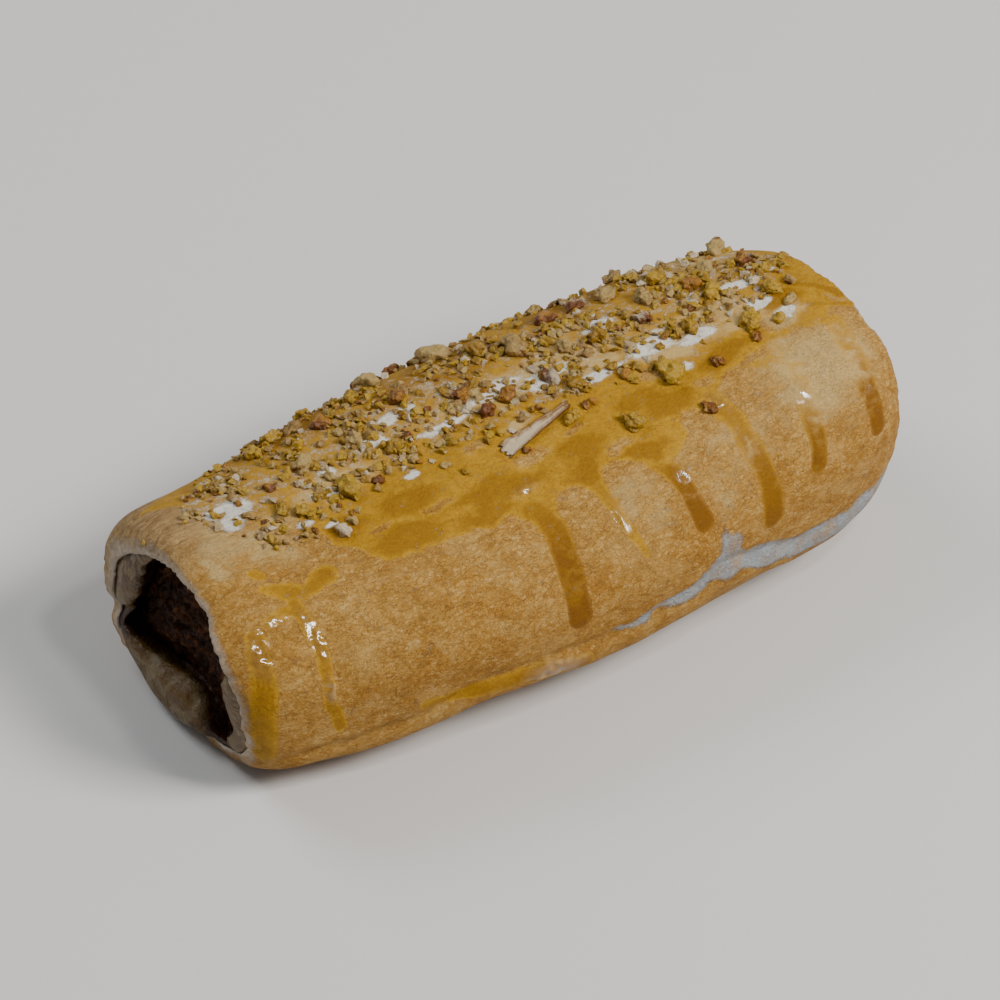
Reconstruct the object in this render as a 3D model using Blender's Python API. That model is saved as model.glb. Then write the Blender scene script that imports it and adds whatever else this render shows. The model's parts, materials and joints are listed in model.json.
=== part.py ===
"""A filled pastry roll: a thin sheet of dough rolled round a dark filling, open at both ends,
with chopped nuts stuck along its top.

Metres, +Z up, +X along the roll. The near mouth is at -X and the front, with the seam low down
along it, is the -Y side. The origin is on the floor under the middle. Angles run round the
section in degrees: the back is 0, the top 90, the front 180 and the base 270.
"""

import math
import random

import bmesh
import bpy
from mathutils import Matrix, Vector, noise

MM = 0.001

# The roll as it lies, fattest in the middle and sagging on a flat base.
LENGTH = 132 * MM
HALF_WIDTH = (25.1 * MM, 33.0 * MM, 26.1 * MM)  # at the near end, the middle and the far end
HEIGHT = (39.2 * MM, 39.2 * MM, 42.9 * MM)
WIDEST_SHARE = 0.56  # of the height, where the sides stand out furthest
ROUNDNESS_ABOVE = 2.14  # exponent of the section's upper part, 2 is an ellipse
ROUNDNESS_BELOW = 3.0
SINK = 1.03  # the lower part reaches this far past the floor, which flattens the base
FOOT_SIDE = 15.6 * MM  # half the width of the flat that it stands on
FOOT_SLOPE = 0.25  # of the base on both sides of that flat
END_LIFT = ((52, 0.0), (58, 0.4))  # mm along either way and mm up, so that it stands on the flat

# The shoulders: how long each one is and the share of the section it takes away at the rim.
NEAR_SHOULDER = (6.5 * MM, 0.13)
FAR_SHOULDER = (15 * MM, 0.19)
TURNED_IN = ((20, 40, 0.06), (160, 34, 0.04))  # the near rim curls in further at these angles
FRONT_REACH = 4.0 * MM  # and its front stands out further
# The mouths aren't square to the roll: how far they lean, up and across, as slopes.
NEAR_LEAN = (0.063, 0.155)
FAR_LEAN = (0.18, 0.14)
MIDDLE = (0.80 * MM, 0.17 * MM)  # of the finished roll's box, which the leaning ends shift
BASE_SETBACK = 2.0 * MM  # the outer turn ends short of the inner one along the base
TEAR_ANGLE, TEAR_WIDTH, TEAR_DEPTH = 334.0, 5.0, 1.8 * MM
RIM_WAVE = 0.6 * MM

# The skin's lumps, and the seam where the sheet's outer edge lies on the layer below.
LUMP_SIZE, LUMP_DEPTH = 22 * MM, 0.8 * MM
RIPPLE_SIZE, RIPPLE_DEPTH = 7 * MM, 0.25 * MM
SEAM = ((-66, 207), (-52, 201), (-38, 197), (-21, 189), (-10, 189), (0, 191), (8, 191),
        (20, 188), (27, 184), (35, 189), (44, 196), (55, 196), (66, 200))  # mm and degrees
BASE_PRESS = 1.5 * MM  # the base is pressed flat on the floor by this much
GROOVE_DEPTH, GROOVE_WIDTH = 0.7 * MM, 2.4
LIP_DEPTH, LIP_WIDTH = 0.7 * MM, 6.0

# Layers, counted inwards from the skin.
WALL = 1.9 * MM
RIM_WALL = 1.2 * MM
BACK_WALL = 1.5 * MM  # extra along the back
GAP = 0.5 * MM
LINING = ((-200, 2.4), (-192, 4.0), (-180, 4.8), (-166, 4.6), (-152, 4.2), (-142, 3.8), (-134, 3.0),
          (-126, 0.9), (-118, 0.9), (-110, 5.6), (-100, 6.8), (-86, 7.0), (-72, 6.4), (-58, 5.4),
          (-48, 4.6), (-40, 3.4), (-33, 1.6), (-24, 3.6), (-12, 5.6), (2, 6.6), (16, 6.2), (28, 4.2),
          (38, 2.2), (50, 1.0))  # degrees and mm, the inner turn's thickness from the front flap on
LINING_BULGE = 2.5 * MM  # how far the inner turn swells out over the base's short rim
LINING_SAG = 3.2 * MM  # and how far it hangs down past that rim
LINING_ENDS = ((1.0, 0.36, 0.9), (0.62, 0.14, 1.0), (0.35, 0.06, 0.0))  # shares of swell, closing and sag
FILLING_SETBACK = 3.8 * MM  # at the base, and the face leans back above it
FILLING_LEAN = 0.06
FILLING_ROUGHNESS = 1.2 * MM

# Chopped nuts: the larger bits as (mm along, degrees round, mm long, mm wide), then smaller
# ones scattered over the same band.
LARGE_NUTS = (
    (-12, 19, 7.0, 4.6), (2, 22, 7.2, 5.6), (7, 32, 4.4, 3.8), (13, 39, 6.4, 4.6), (14, 66, 4.8, 3.6),
    (17, 81, 5.0, 3.0), (5, 67, 4.2, 3.6), (0, 71, 4.0, 3.0), (12, 101, 3.6, 2.8), (-33, 24, 4.6, 3.4),
    (-38, 29, 4.2, 3.2), (-29, 26, 4.2, 3.0), (-25, 33, 4.6, 3.6), (-23, 50, 3.8, 3.4), (-30, 82, 7.4, 4.4),
    (-36, 108, 4.0, 3.0), (-43, 78, 4.0, 3.0), (-40, 84, 3.6, 2.8), (17, 96, 2.4, 2.0), (21, 119, 5.6, 3.8),
    (32, 102, 6.6, 4.4), (40, 107, 3.2, 2.6), (34, 129, 3.4, 2.6), (49, 93, 5.4, 3.8), (34, 33, 5.0, 4.0),
    (43, 38, 4.6, 4.0), (51, 44, 4.2, 3.4), (48, 61, 4.2, 3.4), (56, 78, 4.0, 3.0), (57, 30, 5.4, 4.0),
    (22, 30, 5.0, 3.8), (28, 31, 4.6, 3.6), (38, 46, 4.8, 3.6), (46, 52, 4.2, 3.2), (57, 50, 3.8, 3.0),
    (35, 58, 4.0, 3.0), (40, 78, 3.6, 3.0), (-11, 39, 4.6, 3.6), (-2, 53, 4.0, 3.2), (-34, 52, 4.6, 3.2),
    (-17, 27, 4.4, 3.2), (26, 56, 4.4, 3.2), (20, 52, 4.0, 3.0), (-5, 12, 4.2, 3.2), (40, 18, 4.6, 3.4),
    (24, 14, 4.2, 3.2), (-24, 12, 4.0, 3.0), (-18, 66, 4.2, 3.0))
SMALL_NUTS = 56
NUT_SEED = 11
NUT_ALONG = (-50, 60)  # mm
NUT_ROUND = (62, 26)  # degrees, the band's middle and spread
NUT_SIZE = (1.6, 3.0)  # mm
SLIVER = ((-2, 103), (13, 91), 2.6 * MM, 1.6 * MM)  # a flat sliver from, to, width, thickness

# How finely the solids are faceted.
ANGLE_STEP = 8.0
SKIN_STATIONS = 30
INNER_STATIONS = (0.3, 1.0, 3.2, 6.6, 11, 20, 38)  # mm in from each rim


def between(table, at):
    """The value at a place in a table of (place, value) pairs, along a smooth curve."""
    for (left, one), (right, two) in zip(table, table[1:]):
        if at <= right:
            t = min(max((at - left) / (right - left), 0.0), 1.0)
            return one + (two - one) * t * t * (3 - 2 * t)
    return table[-1][1]


def bump(angle, middle, width):
    """1 at the middle angle, falling away on both sides of it."""
    off = (angle - middle + 180) % 360 - 180
    return math.exp(-((off / width) ** 2))


def along(values, x):
    """The smooth curve through the values at the near end, the middle and the far end."""
    near, middle, far = values
    u = 2 * x / LENGTH
    return middle + (far - near) / 2 * u + ((far + near) / 2 - middle) * u * u


def shoulder(from_rim, reach, loss, eased):
    """The share of the section left this far in from a rim: a rounded edge, or an eased one."""
    depth = min(max(1 - from_rim / reach, 0.0), 1.0)
    return 1 - loss * (0.86 * depth * depth if eased else 1 - math.sqrt(1 - 0.98 * depth * depth))


def level(x):
    """Height of the section's widest points, from which the angles are drawn."""
    return WIDEST_SHARE * along(HEIGHT, x)


def lift(x):
    """How far the ends are raised past the flat."""
    return between(END_LIFT, abs(x) / MM) * MM


def plain_radius(x, angle, eased):
    """Distance from the section's middle to the smooth form under the lumps."""
    a = math.radians(angle)
    c, s = abs(math.cos(a)), math.sin(a)
    rise = along(HEIGHT, x) - level(x) if s > 0 else level(x) * SINK
    power = ROUNDNESS_ABOVE if s > 0 else ROUNDNESS_BELOW
    radius = ((c / along(HALF_WIDTH, x)) ** power + (abs(s) / rise) ** power) ** (-1 / power)
    near_loss = NEAR_SHOULDER[1] + sum(more * bump(angle, at, w) for at, w, more in TURNED_IN)
    radius *= shoulder(x + LENGTH / 2, NEAR_SHOULDER[0], near_loss, eased)
    radius *= shoulder(LENGTH / 2 - x, *FAR_SHOULDER, eased)
    return min(radius, level(x) / -s) if s < 0 else radius


def relief(x, angle):
    """Height of the skin over the smooth form: lumps, ripples, the seam's groove and its lip."""
    a = math.radians(angle)
    spot = Vector((x, 25 * MM * math.cos(a), 25 * MM * math.sin(a)))
    lumps = LUMP_DEPTH * noise.noise(spot / LUMP_SIZE) + RIPPLE_DEPTH * noise.noise(spot / RIPPLE_SIZE)
    seam = between(SEAM, x / MM)
    groove = GROOVE_DEPTH * bump(angle, seam, GROOVE_WIDTH)
    lip = LIP_DEPTH * bump(angle, seam + 8, LIP_WIDTH)
    ends = min(max((LENGTH / 2 - abs(x)) / (8 * MM), 0.0), 1.0)
    flat = bump(angle, 270, 34)
    return lumps * (1 - flat) + BASE_PRESS * flat + ends * (lip - groove)


def place(x, angle, depth, eased):
    """The point at x, at an angle round the section and a depth under the smooth form."""
    a = math.radians(angle)
    reach = plain_radius(x, angle, eased) - depth
    y, z = reach * math.cos(a), level(x) + reach * math.sin(a)
    near = min(max(-2 * x / LENGTH, 0.0), 1.0) ** 3
    far = min(max(2 * x / LENGTH, 0.0), 1.0) ** 3
    up = along(HEIGHT, x) / 2 - z
    shift = -near * (NEAR_LEAN[0] * up + NEAR_LEAN[1] * y) - far * (FAR_LEAN[0] * up + FAR_LEAN[1] * y)
    return Vector((x + shift - MIDDLE[0], y - MIDDLE[1], z + lift(x)))


def rim_shift(x, angle):
    """How far the outer turn's torn rims stand in or out from the mouths."""
    near, far = x + LENGTH / 2, LENGTH / 2 - x
    a = math.radians(angle)
    wave = RIM_WAVE * noise.noise(Vector((3 * math.cos(a), 3 * math.sin(a), 0.5)))
    setback = BASE_SETBACK * bump(angle, 278, 44)
    tear = TEAR_DEPTH * bump(angle, TEAR_ANGLE, TEAR_WIDTH)
    front = FRONT_REACH * bump(angle, 160, 38)
    near_fade = min(max(1 - near / (12 * MM), 0.0), 1.0) ** 2
    far_fade = min(max(1 - far / (12 * MM), 0.0), 1.0) ** 2
    return near_fade * (wave + setback + tear - front) - far_fade * (wave + setback)


def on_skin(x, angle):
    """A point of the outer skin, never below the floor."""
    spot = place(x, angle, -relief(x, angle), False)
    base = max(lift(x), FOOT_SLOPE * (abs(spot.y) - FOOT_SIDE))
    return Vector((spot.x + rim_shift(x, angle), spot.y, max(spot.z, base)))


def inside(x, angle, depth):
    """A point this deep under the smooth form, moved with the rim above it."""
    spot = place(x, angle, depth, True)
    return Vector((spot.x + rim_shift(x, angle), spot.y, spot.z))


def wall(x, angle):
    """Thickness of the outer turn, thinner at its rims and thicker along the back."""
    fade = min(max((LENGTH / 2 - abs(x)) / (9 * MM), 0.0), 1.0)
    return RIM_WALL + (WALL - RIM_WALL) * fade + BACK_WALL * bump(angle, 5, 42)


def angles():
    """Steps round the section, halved across the seam."""
    steps, angle = [], 0.0
    while angle < 359.9:
        steps.append(angle)
        angle += ANGLE_STEP / 2 if 176 <= angle < 216 else ANGLE_STEP
    return steps


def inner_stations():
    """Places along the roll that the inner layers share, so that none cuts another."""
    near = [-LENGTH / 2 + d * MM for d in INNER_STATIONS]
    return near + [0.0] + [-x for x in reversed(near)]


def skin_stations():
    """Places along the skin, closer together on the shoulders."""
    half = LENGTH / 2 - 0.5 * MM
    evenly = [2 * i / (SKIN_STATIONS - 1) - 1 for i in range(SKIN_STATIONS)]
    return [half * (1.25 * u - 0.25 * u ** 5) for u in evenly]


def loft(name, rings, joined):
    """A closed solid through rings of points; joined makes a loop of rings, else ends are capped."""
    mesh = bmesh.new()
    rows = [[mesh.verts.new(point) for point in ring] for ring in rings]
    size = len(rows[0])
    following = rows[1:] + rows[:1] if joined else rows[1:]
    for one, two in zip(rows, following):
        for i in range(size):
            j = (i + 1) % size
            mesh.faces.new((one[i], one[j], two[j], two[i]))
    if not joined:
        close_end(mesh, rows[0])
        close_end(mesh, rows[-1])
    bmesh.ops.triangulate(mesh, faces=mesh.faces)
    bmesh.ops.recalc_face_normals(mesh, faces=mesh.faces)
    return to_object(name, mesh, roll)


def close_end(mesh, row):
    """Closes an end ring by a strip that joins its first half to its second, so a C stays a C."""
    for i in range(len(row) // 2 - 1):
        mesh.faces.new((row[i], row[i + 1], row[-2 - i], row[-1 - i]))
    if len(row) % 2:
        middle = len(row) // 2
        mesh.faces.new((row[middle - 1], row[middle], row[middle + 1]))


def to_object(name, mesh, collection):
    data = bpy.data.meshes.new(name)
    mesh.to_mesh(data)
    mesh.free()
    made = bpy.data.objects.new(name, data)
    collection.objects.link(made)
    return made


def dough_shell():
    """The outer turn of dough: a thin tube with rounded rims."""
    half = LENGTH / 2
    rounding = ((0.5, 0.0), (0.1, 0.25), (0.0, 0.55), (0.15, 0.85))
    rings = []
    for x in skin_stations():
        rings.append([on_skin(x, angle) for angle in angles()])
    for inset, share in rounding[1:]:
        x = half - inset * MM
        rings.append([inside(x, angle, share * wall(half, angle)) for angle in angles()])
    for x in reversed(inner_stations()):
        rings.append([inside(x, angle, wall(x, angle)) for angle in angles()])
    for inset, share in reversed(rounding[1:]):
        x = -half + inset * MM
        rings.append([inside(x, angle, share * wall(half, angle)) for angle in angles()])
    return loft("dough_shell", rings, True)


def lining_thickness(x, angle):
    """Thickness of the inner turn of dough at an angle between LINING's first and last."""
    puff = 1 + 0.12 * noise.noise(Vector((x / (12 * MM), angle / 35, 5.0)))
    return between(LINING, angle) * puff * MM


def lining_angles():
    first, last = LINING[0][0], LINING[-1][0]
    return [a - 360 for a in angles() if a - 360 >= first] + [a for a in angles() if a <= last]


def lining_ring(x, swell, closing, sag):
    """One ring of the C, its outer side one way and its inner side back, swollen by some shares."""
    outer, inner = [], []
    for a in lining_angles():
        skin, thick = wall(x, a) + GAP, lining_thickness(x, a)
        step = swell * (0.25 * thick + LINING_BULGE * bump(a, -82, 34))
        within = min(step, LENGTH / 2 - abs(x))
        at = x + math.copysign(within, x)
        past = Vector((math.copysign(step - within, x), 0, 0))
        hang = sag * LINING_SAG * bump(a, -84, 27) * min(thick / (5 * MM), 1)
        outer.append(inside(at, a, skin + closing * thick - hang) + past)
        inner.append(inside(at, a, skin + (1 - closing) * thick) + past)
    return outer + inner[::-1]


def inner_dough():
    """The inner turn of dough, a C round the filling, puffed up at its two ends."""
    stations = inner_stations()[1:-1]
    near = [lining_ring(stations[0], *shares) for shares in LINING_ENDS]
    body = [lining_ring(x, 0, 0, 0) for x in stations]
    far = [lining_ring(stations[-1], *shares) for shares in reversed(LINING_ENDS)]
    return loft("inner_dough", near + body + far, False)


def filling_depth(x, angle):
    """Depth of the filling's side, inside the inner turn where there is one."""
    first, last = LINING[0][0], LINING[-1][0]
    turned = (angle - first + 16) % 360 + first - 16
    if turned > last + 16:
        return wall(x, angle) + GAP
    beside = [min(max(turned + step, first), last) for step in (-3, 0, 3)]
    return wall(x, angle) + 2 * GAP + max(lining_thickness(x, a) for a in beside)


def rim_floor(ring):
    return min(point.z for point in ring)


def filling():
    """The dark filling, set back inside both mouths, with rough faces."""
    stations = inner_stations()[3:-3]
    rings = [[inside(x, a, filling_depth(x, a)) for a in angles()] for x in stations]
    for end, outwards in ((0, -1), (-1, 1)):
        x = outwards * (LENGTH / 2 - FILLING_SETBACK)
        rim = [inside(x, a, filling_depth(x, a)) for a in angles()]
        for point in rim:
            point.x -= outwards * FILLING_LEAN * (point.z - rim_floor(rim))
        rings.append(rim) if end else rings.insert(0, rim)
        middle = sum(rim, Vector()) / len(rim)
        for share in (0.86, 0.64, 0.42, 0.2):
            ring = []
            for point in rim:
                spot = middle.lerp(point, share)
                crumbs = noise.noise(spot / (5 * MM)) + 0.4 * noise.noise(spot / (2.5 * MM))
                spot.x += outwards * FILLING_ROUGHNESS * (0.5 + crumbs)
                ring.append(spot)
            rings.append(ring) if end else rings.insert(0, ring)
    return loft("filling", rings, False)


def nut_layout():
    """Every chopped bit as (mm along, degrees round, mm long, mm wide), largest first."""
    chance = random.Random(NUT_SEED)
    bits = list(LARGE_NUTS)
    for i in range(SMALL_NUTS):
        x = NUT_ALONG[0] + (NUT_ALONG[1] - NUT_ALONG[0]) * (i + chance.random()) / SMALL_NUTS
        size = chance.uniform(*NUT_SIZE)
        bits.append((x, NUT_ROUND[0] + NUT_ROUND[1] * chance.gauss(0, 1), size, size * 0.8))
    return bits


def resting_frame(x, angle, spin):
    """A frame on the skin: its Z straight out, its X turned by spin from the roll's length."""
    here = on_skin(x, angle)
    lengthwise = on_skin(x + 1 * MM, angle) - on_skin(x - 1 * MM, angle)
    outwards = lengthwise.cross(on_skin(x, angle - 3) - on_skin(x, angle + 3)).normalized()
    across = outwards.cross(lengthwise).normalized()
    turned = Matrix((across.cross(outwards), across, outwards)).transposed().to_4x4()
    return Matrix.Translation(here) @ turned @ Matrix.Rotation(spin, 4, "Z")


def nut_bit(x, angle, long, wide, chance):
    """One chopped bit: an uneven angular lump, sunk a little into the dough."""
    mesh = bmesh.new()
    bmesh.ops.create_icosphere(mesh, subdivisions=1, radius=0.5)
    thick = wide * chance.uniform(0.7, 1.0)
    lift = 0.24 if wide > 2.5 else 0.15
    frame = resting_frame(x * MM, angle, chance.uniform(0, math.pi))
    for vert in mesh.verts:
        spot = vert.co * chance.uniform(0.85, 1.2)
        vert.co = frame @ (Vector((spot.x * long, spot.y * wide, (spot.z + lift) * thick)) * MM)
    to_object("bit", mesh, bits)


def sliver():
    """The flat sliver lying on the top."""
    (x1, a1), (x2, a2), width, thick = SLIVER
    mesh = bmesh.new()
    bmesh.ops.create_cube(mesh, size=1)
    one, two = on_skin(x1 * MM, a1), on_skin(x2 * MM, a2)
    frame = resting_frame((x1 + x2) / 2 * MM, (a1 + a2) / 2, 0)
    outwards = frame.to_3x3() @ Vector((0, 0, 1))
    lengthwise = two - one
    across = outwards.cross(lengthwise).normalized()
    middle = frame.translation + outwards * thick * 0.3
    for vert in mesh.verts:
        taper = 1 - 0.5 * (vert.co.x + 0.5)
        vert.co = (middle + lengthwise * vert.co.x + across * vert.co.y * width * taper
                   + outwards * vert.co.z * thick)
    bmesh.ops.recalc_face_normals(mesh, faces=mesh.faces)
    to_object("bit", mesh, bits)


def add_nuts(shell):
    """Joins the chopped bits and the sliver to the dough they lie on."""
    chance = random.Random(NUT_SEED + 1)
    for bit in nut_layout():
        nut_bit(*bit, chance)
    sliver()
    union = shell.modifiers.new("nuts", "BOOLEAN")
    union.operation = "UNION"
    union.solver = "MANIFOLD"
    union.operand_type = "COLLECTION"
    union.collection = bits
    graph = bpy.context.evaluated_depsgraph_get()
    shell.data = bpy.data.meshes.new_from_object(shell.evaluated_get(graph))
    shell.modifiers.clear()
    for bit in list(bits.objects):
        bpy.data.objects.remove(bit)
    bpy.data.collections.remove(bits)


def material(name, colour, roughness):
    made = bpy.data.materials.new(name)
    made.use_nodes = True
    shader = made.node_tree.nodes["Principled BSDF"]
    shader.inputs["Base Color"].default_value = (*colour, 1)
    shader.inputs["Roughness"].default_value = roughness
    return made


def collection(name):
    made = bpy.data.collections.new(name)
    bpy.context.scene.collection.children.link(made)
    return made


for old in list(bpy.data.objects):
    bpy.data.objects.remove(old)
roll = collection("pastry roll")
bits = collection("chopped bits")
shell, lining, core = dough_shell(), inner_dough(), filling()
add_nuts(shell)
shell.data.materials.clear()
shell.data.materials.append(material("baked dough", (0.55, 0.36, 0.15), 0.6))
lining.data.materials.append(material("moist dough", (0.52, 0.40, 0.22), 0.35))
core.data.materials.append(material("dark filling", (0.045, 0.020, 0.012), 0.5))
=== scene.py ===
# %% The frame
import json
import math
import random

import bmesh
import bpy
import numpy as np
from mathutils import Matrix, Vector, noise

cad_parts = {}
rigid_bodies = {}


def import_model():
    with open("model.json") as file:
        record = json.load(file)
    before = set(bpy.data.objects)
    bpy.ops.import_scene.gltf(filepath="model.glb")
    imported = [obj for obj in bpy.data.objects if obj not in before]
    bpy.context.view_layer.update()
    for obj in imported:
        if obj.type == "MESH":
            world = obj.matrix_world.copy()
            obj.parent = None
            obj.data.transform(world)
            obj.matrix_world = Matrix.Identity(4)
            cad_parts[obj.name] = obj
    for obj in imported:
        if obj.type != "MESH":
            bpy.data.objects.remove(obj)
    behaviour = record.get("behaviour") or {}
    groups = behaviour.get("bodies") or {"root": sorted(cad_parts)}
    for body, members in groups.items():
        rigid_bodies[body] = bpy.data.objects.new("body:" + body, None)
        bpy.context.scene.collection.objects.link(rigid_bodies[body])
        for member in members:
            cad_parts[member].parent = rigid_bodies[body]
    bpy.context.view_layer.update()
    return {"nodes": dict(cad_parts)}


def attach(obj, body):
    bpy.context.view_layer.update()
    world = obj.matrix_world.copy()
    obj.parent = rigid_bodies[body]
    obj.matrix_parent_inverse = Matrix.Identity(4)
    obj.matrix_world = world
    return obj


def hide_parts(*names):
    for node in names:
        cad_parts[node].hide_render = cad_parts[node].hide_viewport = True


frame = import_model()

MM = 0.001
print("CAD nodes:", sorted(frame["nodes"]))

# %% [markdown]
# # A filled pastry roll
# A thin sheet of dough is rolled round a dark, grainy filling and baked lying on its seam side.
# Syrup is poured along the top, chopped walnuts are thrown on while it is wet, and flour is left
# white in the folds. The whole roll follows one rule: a rounded section whose width and height
# change slowly from the near mouth to the far one. So this lesson writes that rule once, as a
# function of the place along the roll and the angle round it, and every layer is made from it.
# Angles are in degrees: the back is 0, the top 90, the front 180 and the base 270.

# %% The roll's sizes
LENGTH = 132 * MM
HALF_WIDTH = (25.1 * MM, 33.0 * MM, 26.1 * MM)  # at the near end, the middle and the far end
HEIGHT = (39.2 * MM, 39.2 * MM, 42.9 * MM)
WIDEST_SHARE = 0.56  # of the height, where the section is widest
ROUNDNESS_ABOVE, ROUNDNESS_BELOW = 2.14, 3.0  # 2 is an ellipse, and more is squarer
SINK = 1.03  # how much further down the curve would reach than the floor it is pressed on
END_LIFT = ((52, 0.0), (58, 0.4))  # mm from the middle, and mm off the floor
NEAR_SHOULDER = (6.5 * MM, 0.13)  # how far in it reaches, and the share lost at the rim
FAR_SHOULDER = (15 * MM, 0.19)
EASED_LOSS, EDGE_CURVE = 0.86, 0.98  # the share of the loss inside, and 1 for an upright edge
TURNED_IN = ((20, 40, 0.06), (160, 34, 0.04))  # degrees, width in degrees, the near rim's further loss
print("the roll is", round(LENGTH / MM), "mm long")


# %% [markdown]
# ## The section's rule
# Each section is a squashed circle, rounder above than below, where the roll has sagged flat. Two
# small helpers do the smoothing: one reads a table of places and values along an S-shaped curve,
# the other is a bell, 1 at its middle and falling away on both sides. The section shrinks over a
# shoulder at each rim. The layers inside use an eased shoulder, so that their walls stay thick.

# %% The section's rule
def clamp(value):
    """The value, held between 0 and 1."""
    return min(max(value, 0.0), 1.0)


def between(table, at):
    """The value at a place in a table of (place, value) pairs, along a smooth curve."""
    for (left, one), (right, two) in zip(table, table[1:]):
        if at <= right:
            t = clamp((at - left) / (right - left))
            return one + (two - one) * t * t * (3 - 2 * t)
    return table[-1][1]


def bump(angle, middle, width):
    """1 at the middle angle, falling away on both sides of it."""
    off = (angle - middle + 180) % 360 - 180
    return math.exp(-((off / width) ** 2))


def along(values, x):
    """The smooth curve through the values at the near end, the middle and the far end."""
    near, middle, far = values
    u = 2 * x / LENGTH
    return middle + (far - near) / 2 * u + ((far + near) / 2 - middle) * u * u


def shoulder(from_rim, reach, loss, eased):
    """The share of the section left this far in from a rim: a rounded edge, or an eased one."""
    depth = clamp(1 - from_rim / reach)
    if eased:
        return 1 - loss * (EASED_LOSS * depth * depth)
    return 1 - loss * (1 - math.sqrt(1 - EDGE_CURVE * depth * depth))


def level(x):
    """Height of the section's widest points, from which the angles are drawn."""
    return WIDEST_SHARE * along(HEIGHT, x)


def lift(x):
    """How far the ends are raised past the flat that the roll stands on."""
    return between(END_LIFT, abs(x) / MM) * MM


def plain_radius(x, angle, eased):
    """Distance from the section's middle to the smooth form under the lumps."""
    a = math.radians(angle)
    c, s = abs(math.cos(a)), math.sin(a)
    rise = along(HEIGHT, x) - level(x) if s > 0 else level(x) * SINK
    power = ROUNDNESS_ABOVE if s > 0 else ROUNDNESS_BELOW
    radius = ((c / along(HALF_WIDTH, x)) ** power + (abs(s) / rise) ** power) ** (-1 / power)
    near_loss = NEAR_SHOULDER[1] + sum(more * bump(angle, at, w) for at, w, more in TURNED_IN)
    radius *= shoulder(x + LENGTH / 2, NEAR_SHOULDER[0], near_loss, eased)
    radius *= shoulder(LENGTH / 2 - x, *FAR_SHOULDER, eased)
    return min(radius, level(x) / -s) if s < 0 else radius


print("widest section:", round(2 * along(HALF_WIDTH, 0) / MM), "mm")


# %% [markdown]
# ## Lumps, seam and rims
# Baked dough is never smooth. Slow noise gives it lumps and quicker noise gives it ripples. Low on
# the front the sheet's outer edge ends on the layer below: a groove, and under it a lip. At the
# mouths the dough is torn by hand, so the rims wave, lean and have a small tear. Sculpting by
# hand could do it too, but noise read at the surface's own place can be changed by one number.

# %% Lumps and the seam
LUMP_SIZE, LUMP_DEPTH = 22 * MM, 0.8 * MM
RIPPLE_SIZE, RIPPLE_DEPTH = 7 * MM, 0.25 * MM
SEAM = ((-66, 207), (-52, 201), (-38, 197), (-21, 189), (-10, 189), (0, 191), (8, 191),
        (20, 188), (27, 184), (35, 189), (44, 196), (55, 196), (66, 200))  # mm and degrees
GROOVE_DEPTH, GROOVE_WIDTH = 0.7 * MM, 2.4  # widths are in degrees
LIP_BELOW, LIP_DEPTH, LIP_WIDTH = 8, 0.7 * MM, 6.0
BASE_PRESS, BASE_WIDTH = 1.5 * MM, 34
SEAM_FADE = 8 * MM


def round_spot(x, angle, radius):
    """A place to read noise at: on a plain tube, so that the noise joins up round the roll."""
    a = math.radians(angle)
    return Vector((x, radius * math.cos(a), radius * math.sin(a)))


def relief(x, angle):
    """Height of the skin over the smooth form: lumps, ripples, the seam's groove and its lip."""
    spot = round_spot(x, angle, 25 * MM)
    lumps = LUMP_DEPTH * noise.noise(spot / LUMP_SIZE) + RIPPLE_DEPTH * noise.noise(spot / RIPPLE_SIZE)
    seam = between(SEAM, x / MM)
    groove = GROOVE_DEPTH * bump(angle, seam, GROOVE_WIDTH)
    lip = LIP_DEPTH * bump(angle, seam + LIP_BELOW, LIP_WIDTH)
    ends = clamp((LENGTH / 2 - abs(x)) / SEAM_FADE)
    flat = bump(angle, 270, BASE_WIDTH)
    return lumps * (1 - flat) + BASE_PRESS * flat + ends * (lip - groove)


print("the seam's height at the middle:", round(relief(0, between(SEAM, 0)) / MM, 2), "mm")


# %% Mouths, rims and the wall
NEAR_LEAN, FAR_LEAN = (0.063, 0.155), (0.18, 0.14)  # how the mouths lean, up and across
MIDDLE = (0.80 * MM, 0.17 * MM)  # what brings the finished roll over the origin
RIM_REACH, RIM_WAVE = 12 * MM, 0.6 * MM
# Angle and width in degrees, then how far the rim is set back there, or stands out.
BASE_SETBACK = (278, 44, 2.0 * MM)
TEAR = (334.0, 5.0, 1.8 * MM)
FRONT_REACH = (160, 38, 4.0 * MM)
FOOT_SIDE, FOOT_SLOPE = 15.6 * MM, 0.25  # half the flat it stands on, and the rise beyond it
WALL, RIM_WALL, WALL_FADE = 1.9 * MM, 1.2 * MM, 9 * MM
BACK_WALL = (5, 42, 1.5 * MM)  # angle, width in degrees and how much thicker


def swelling(angle, spec):
    """How much there is of something that is greatest at one angle."""
    middle, width, most = spec
    return most * bump(angle, middle, width)


def place(x, angle, depth, eased):
    """The point at x, at an angle round the section and a depth under the smooth form."""
    a = math.radians(angle)
    reach = plain_radius(x, angle, eased) - depth
    y, z = reach * math.cos(a), level(x) + reach * math.sin(a)
    near = clamp(-2 * x / LENGTH) ** 3
    far = clamp(2 * x / LENGTH) ** 3
    up = along(HEIGHT, x) / 2 - z
    shift = -near * (NEAR_LEAN[0] * up + NEAR_LEAN[1] * y) - far * (FAR_LEAN[0] * up + FAR_LEAN[1] * y)
    return Vector((x + shift - MIDDLE[0], y - MIDDLE[1], z + lift(x)))


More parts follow.
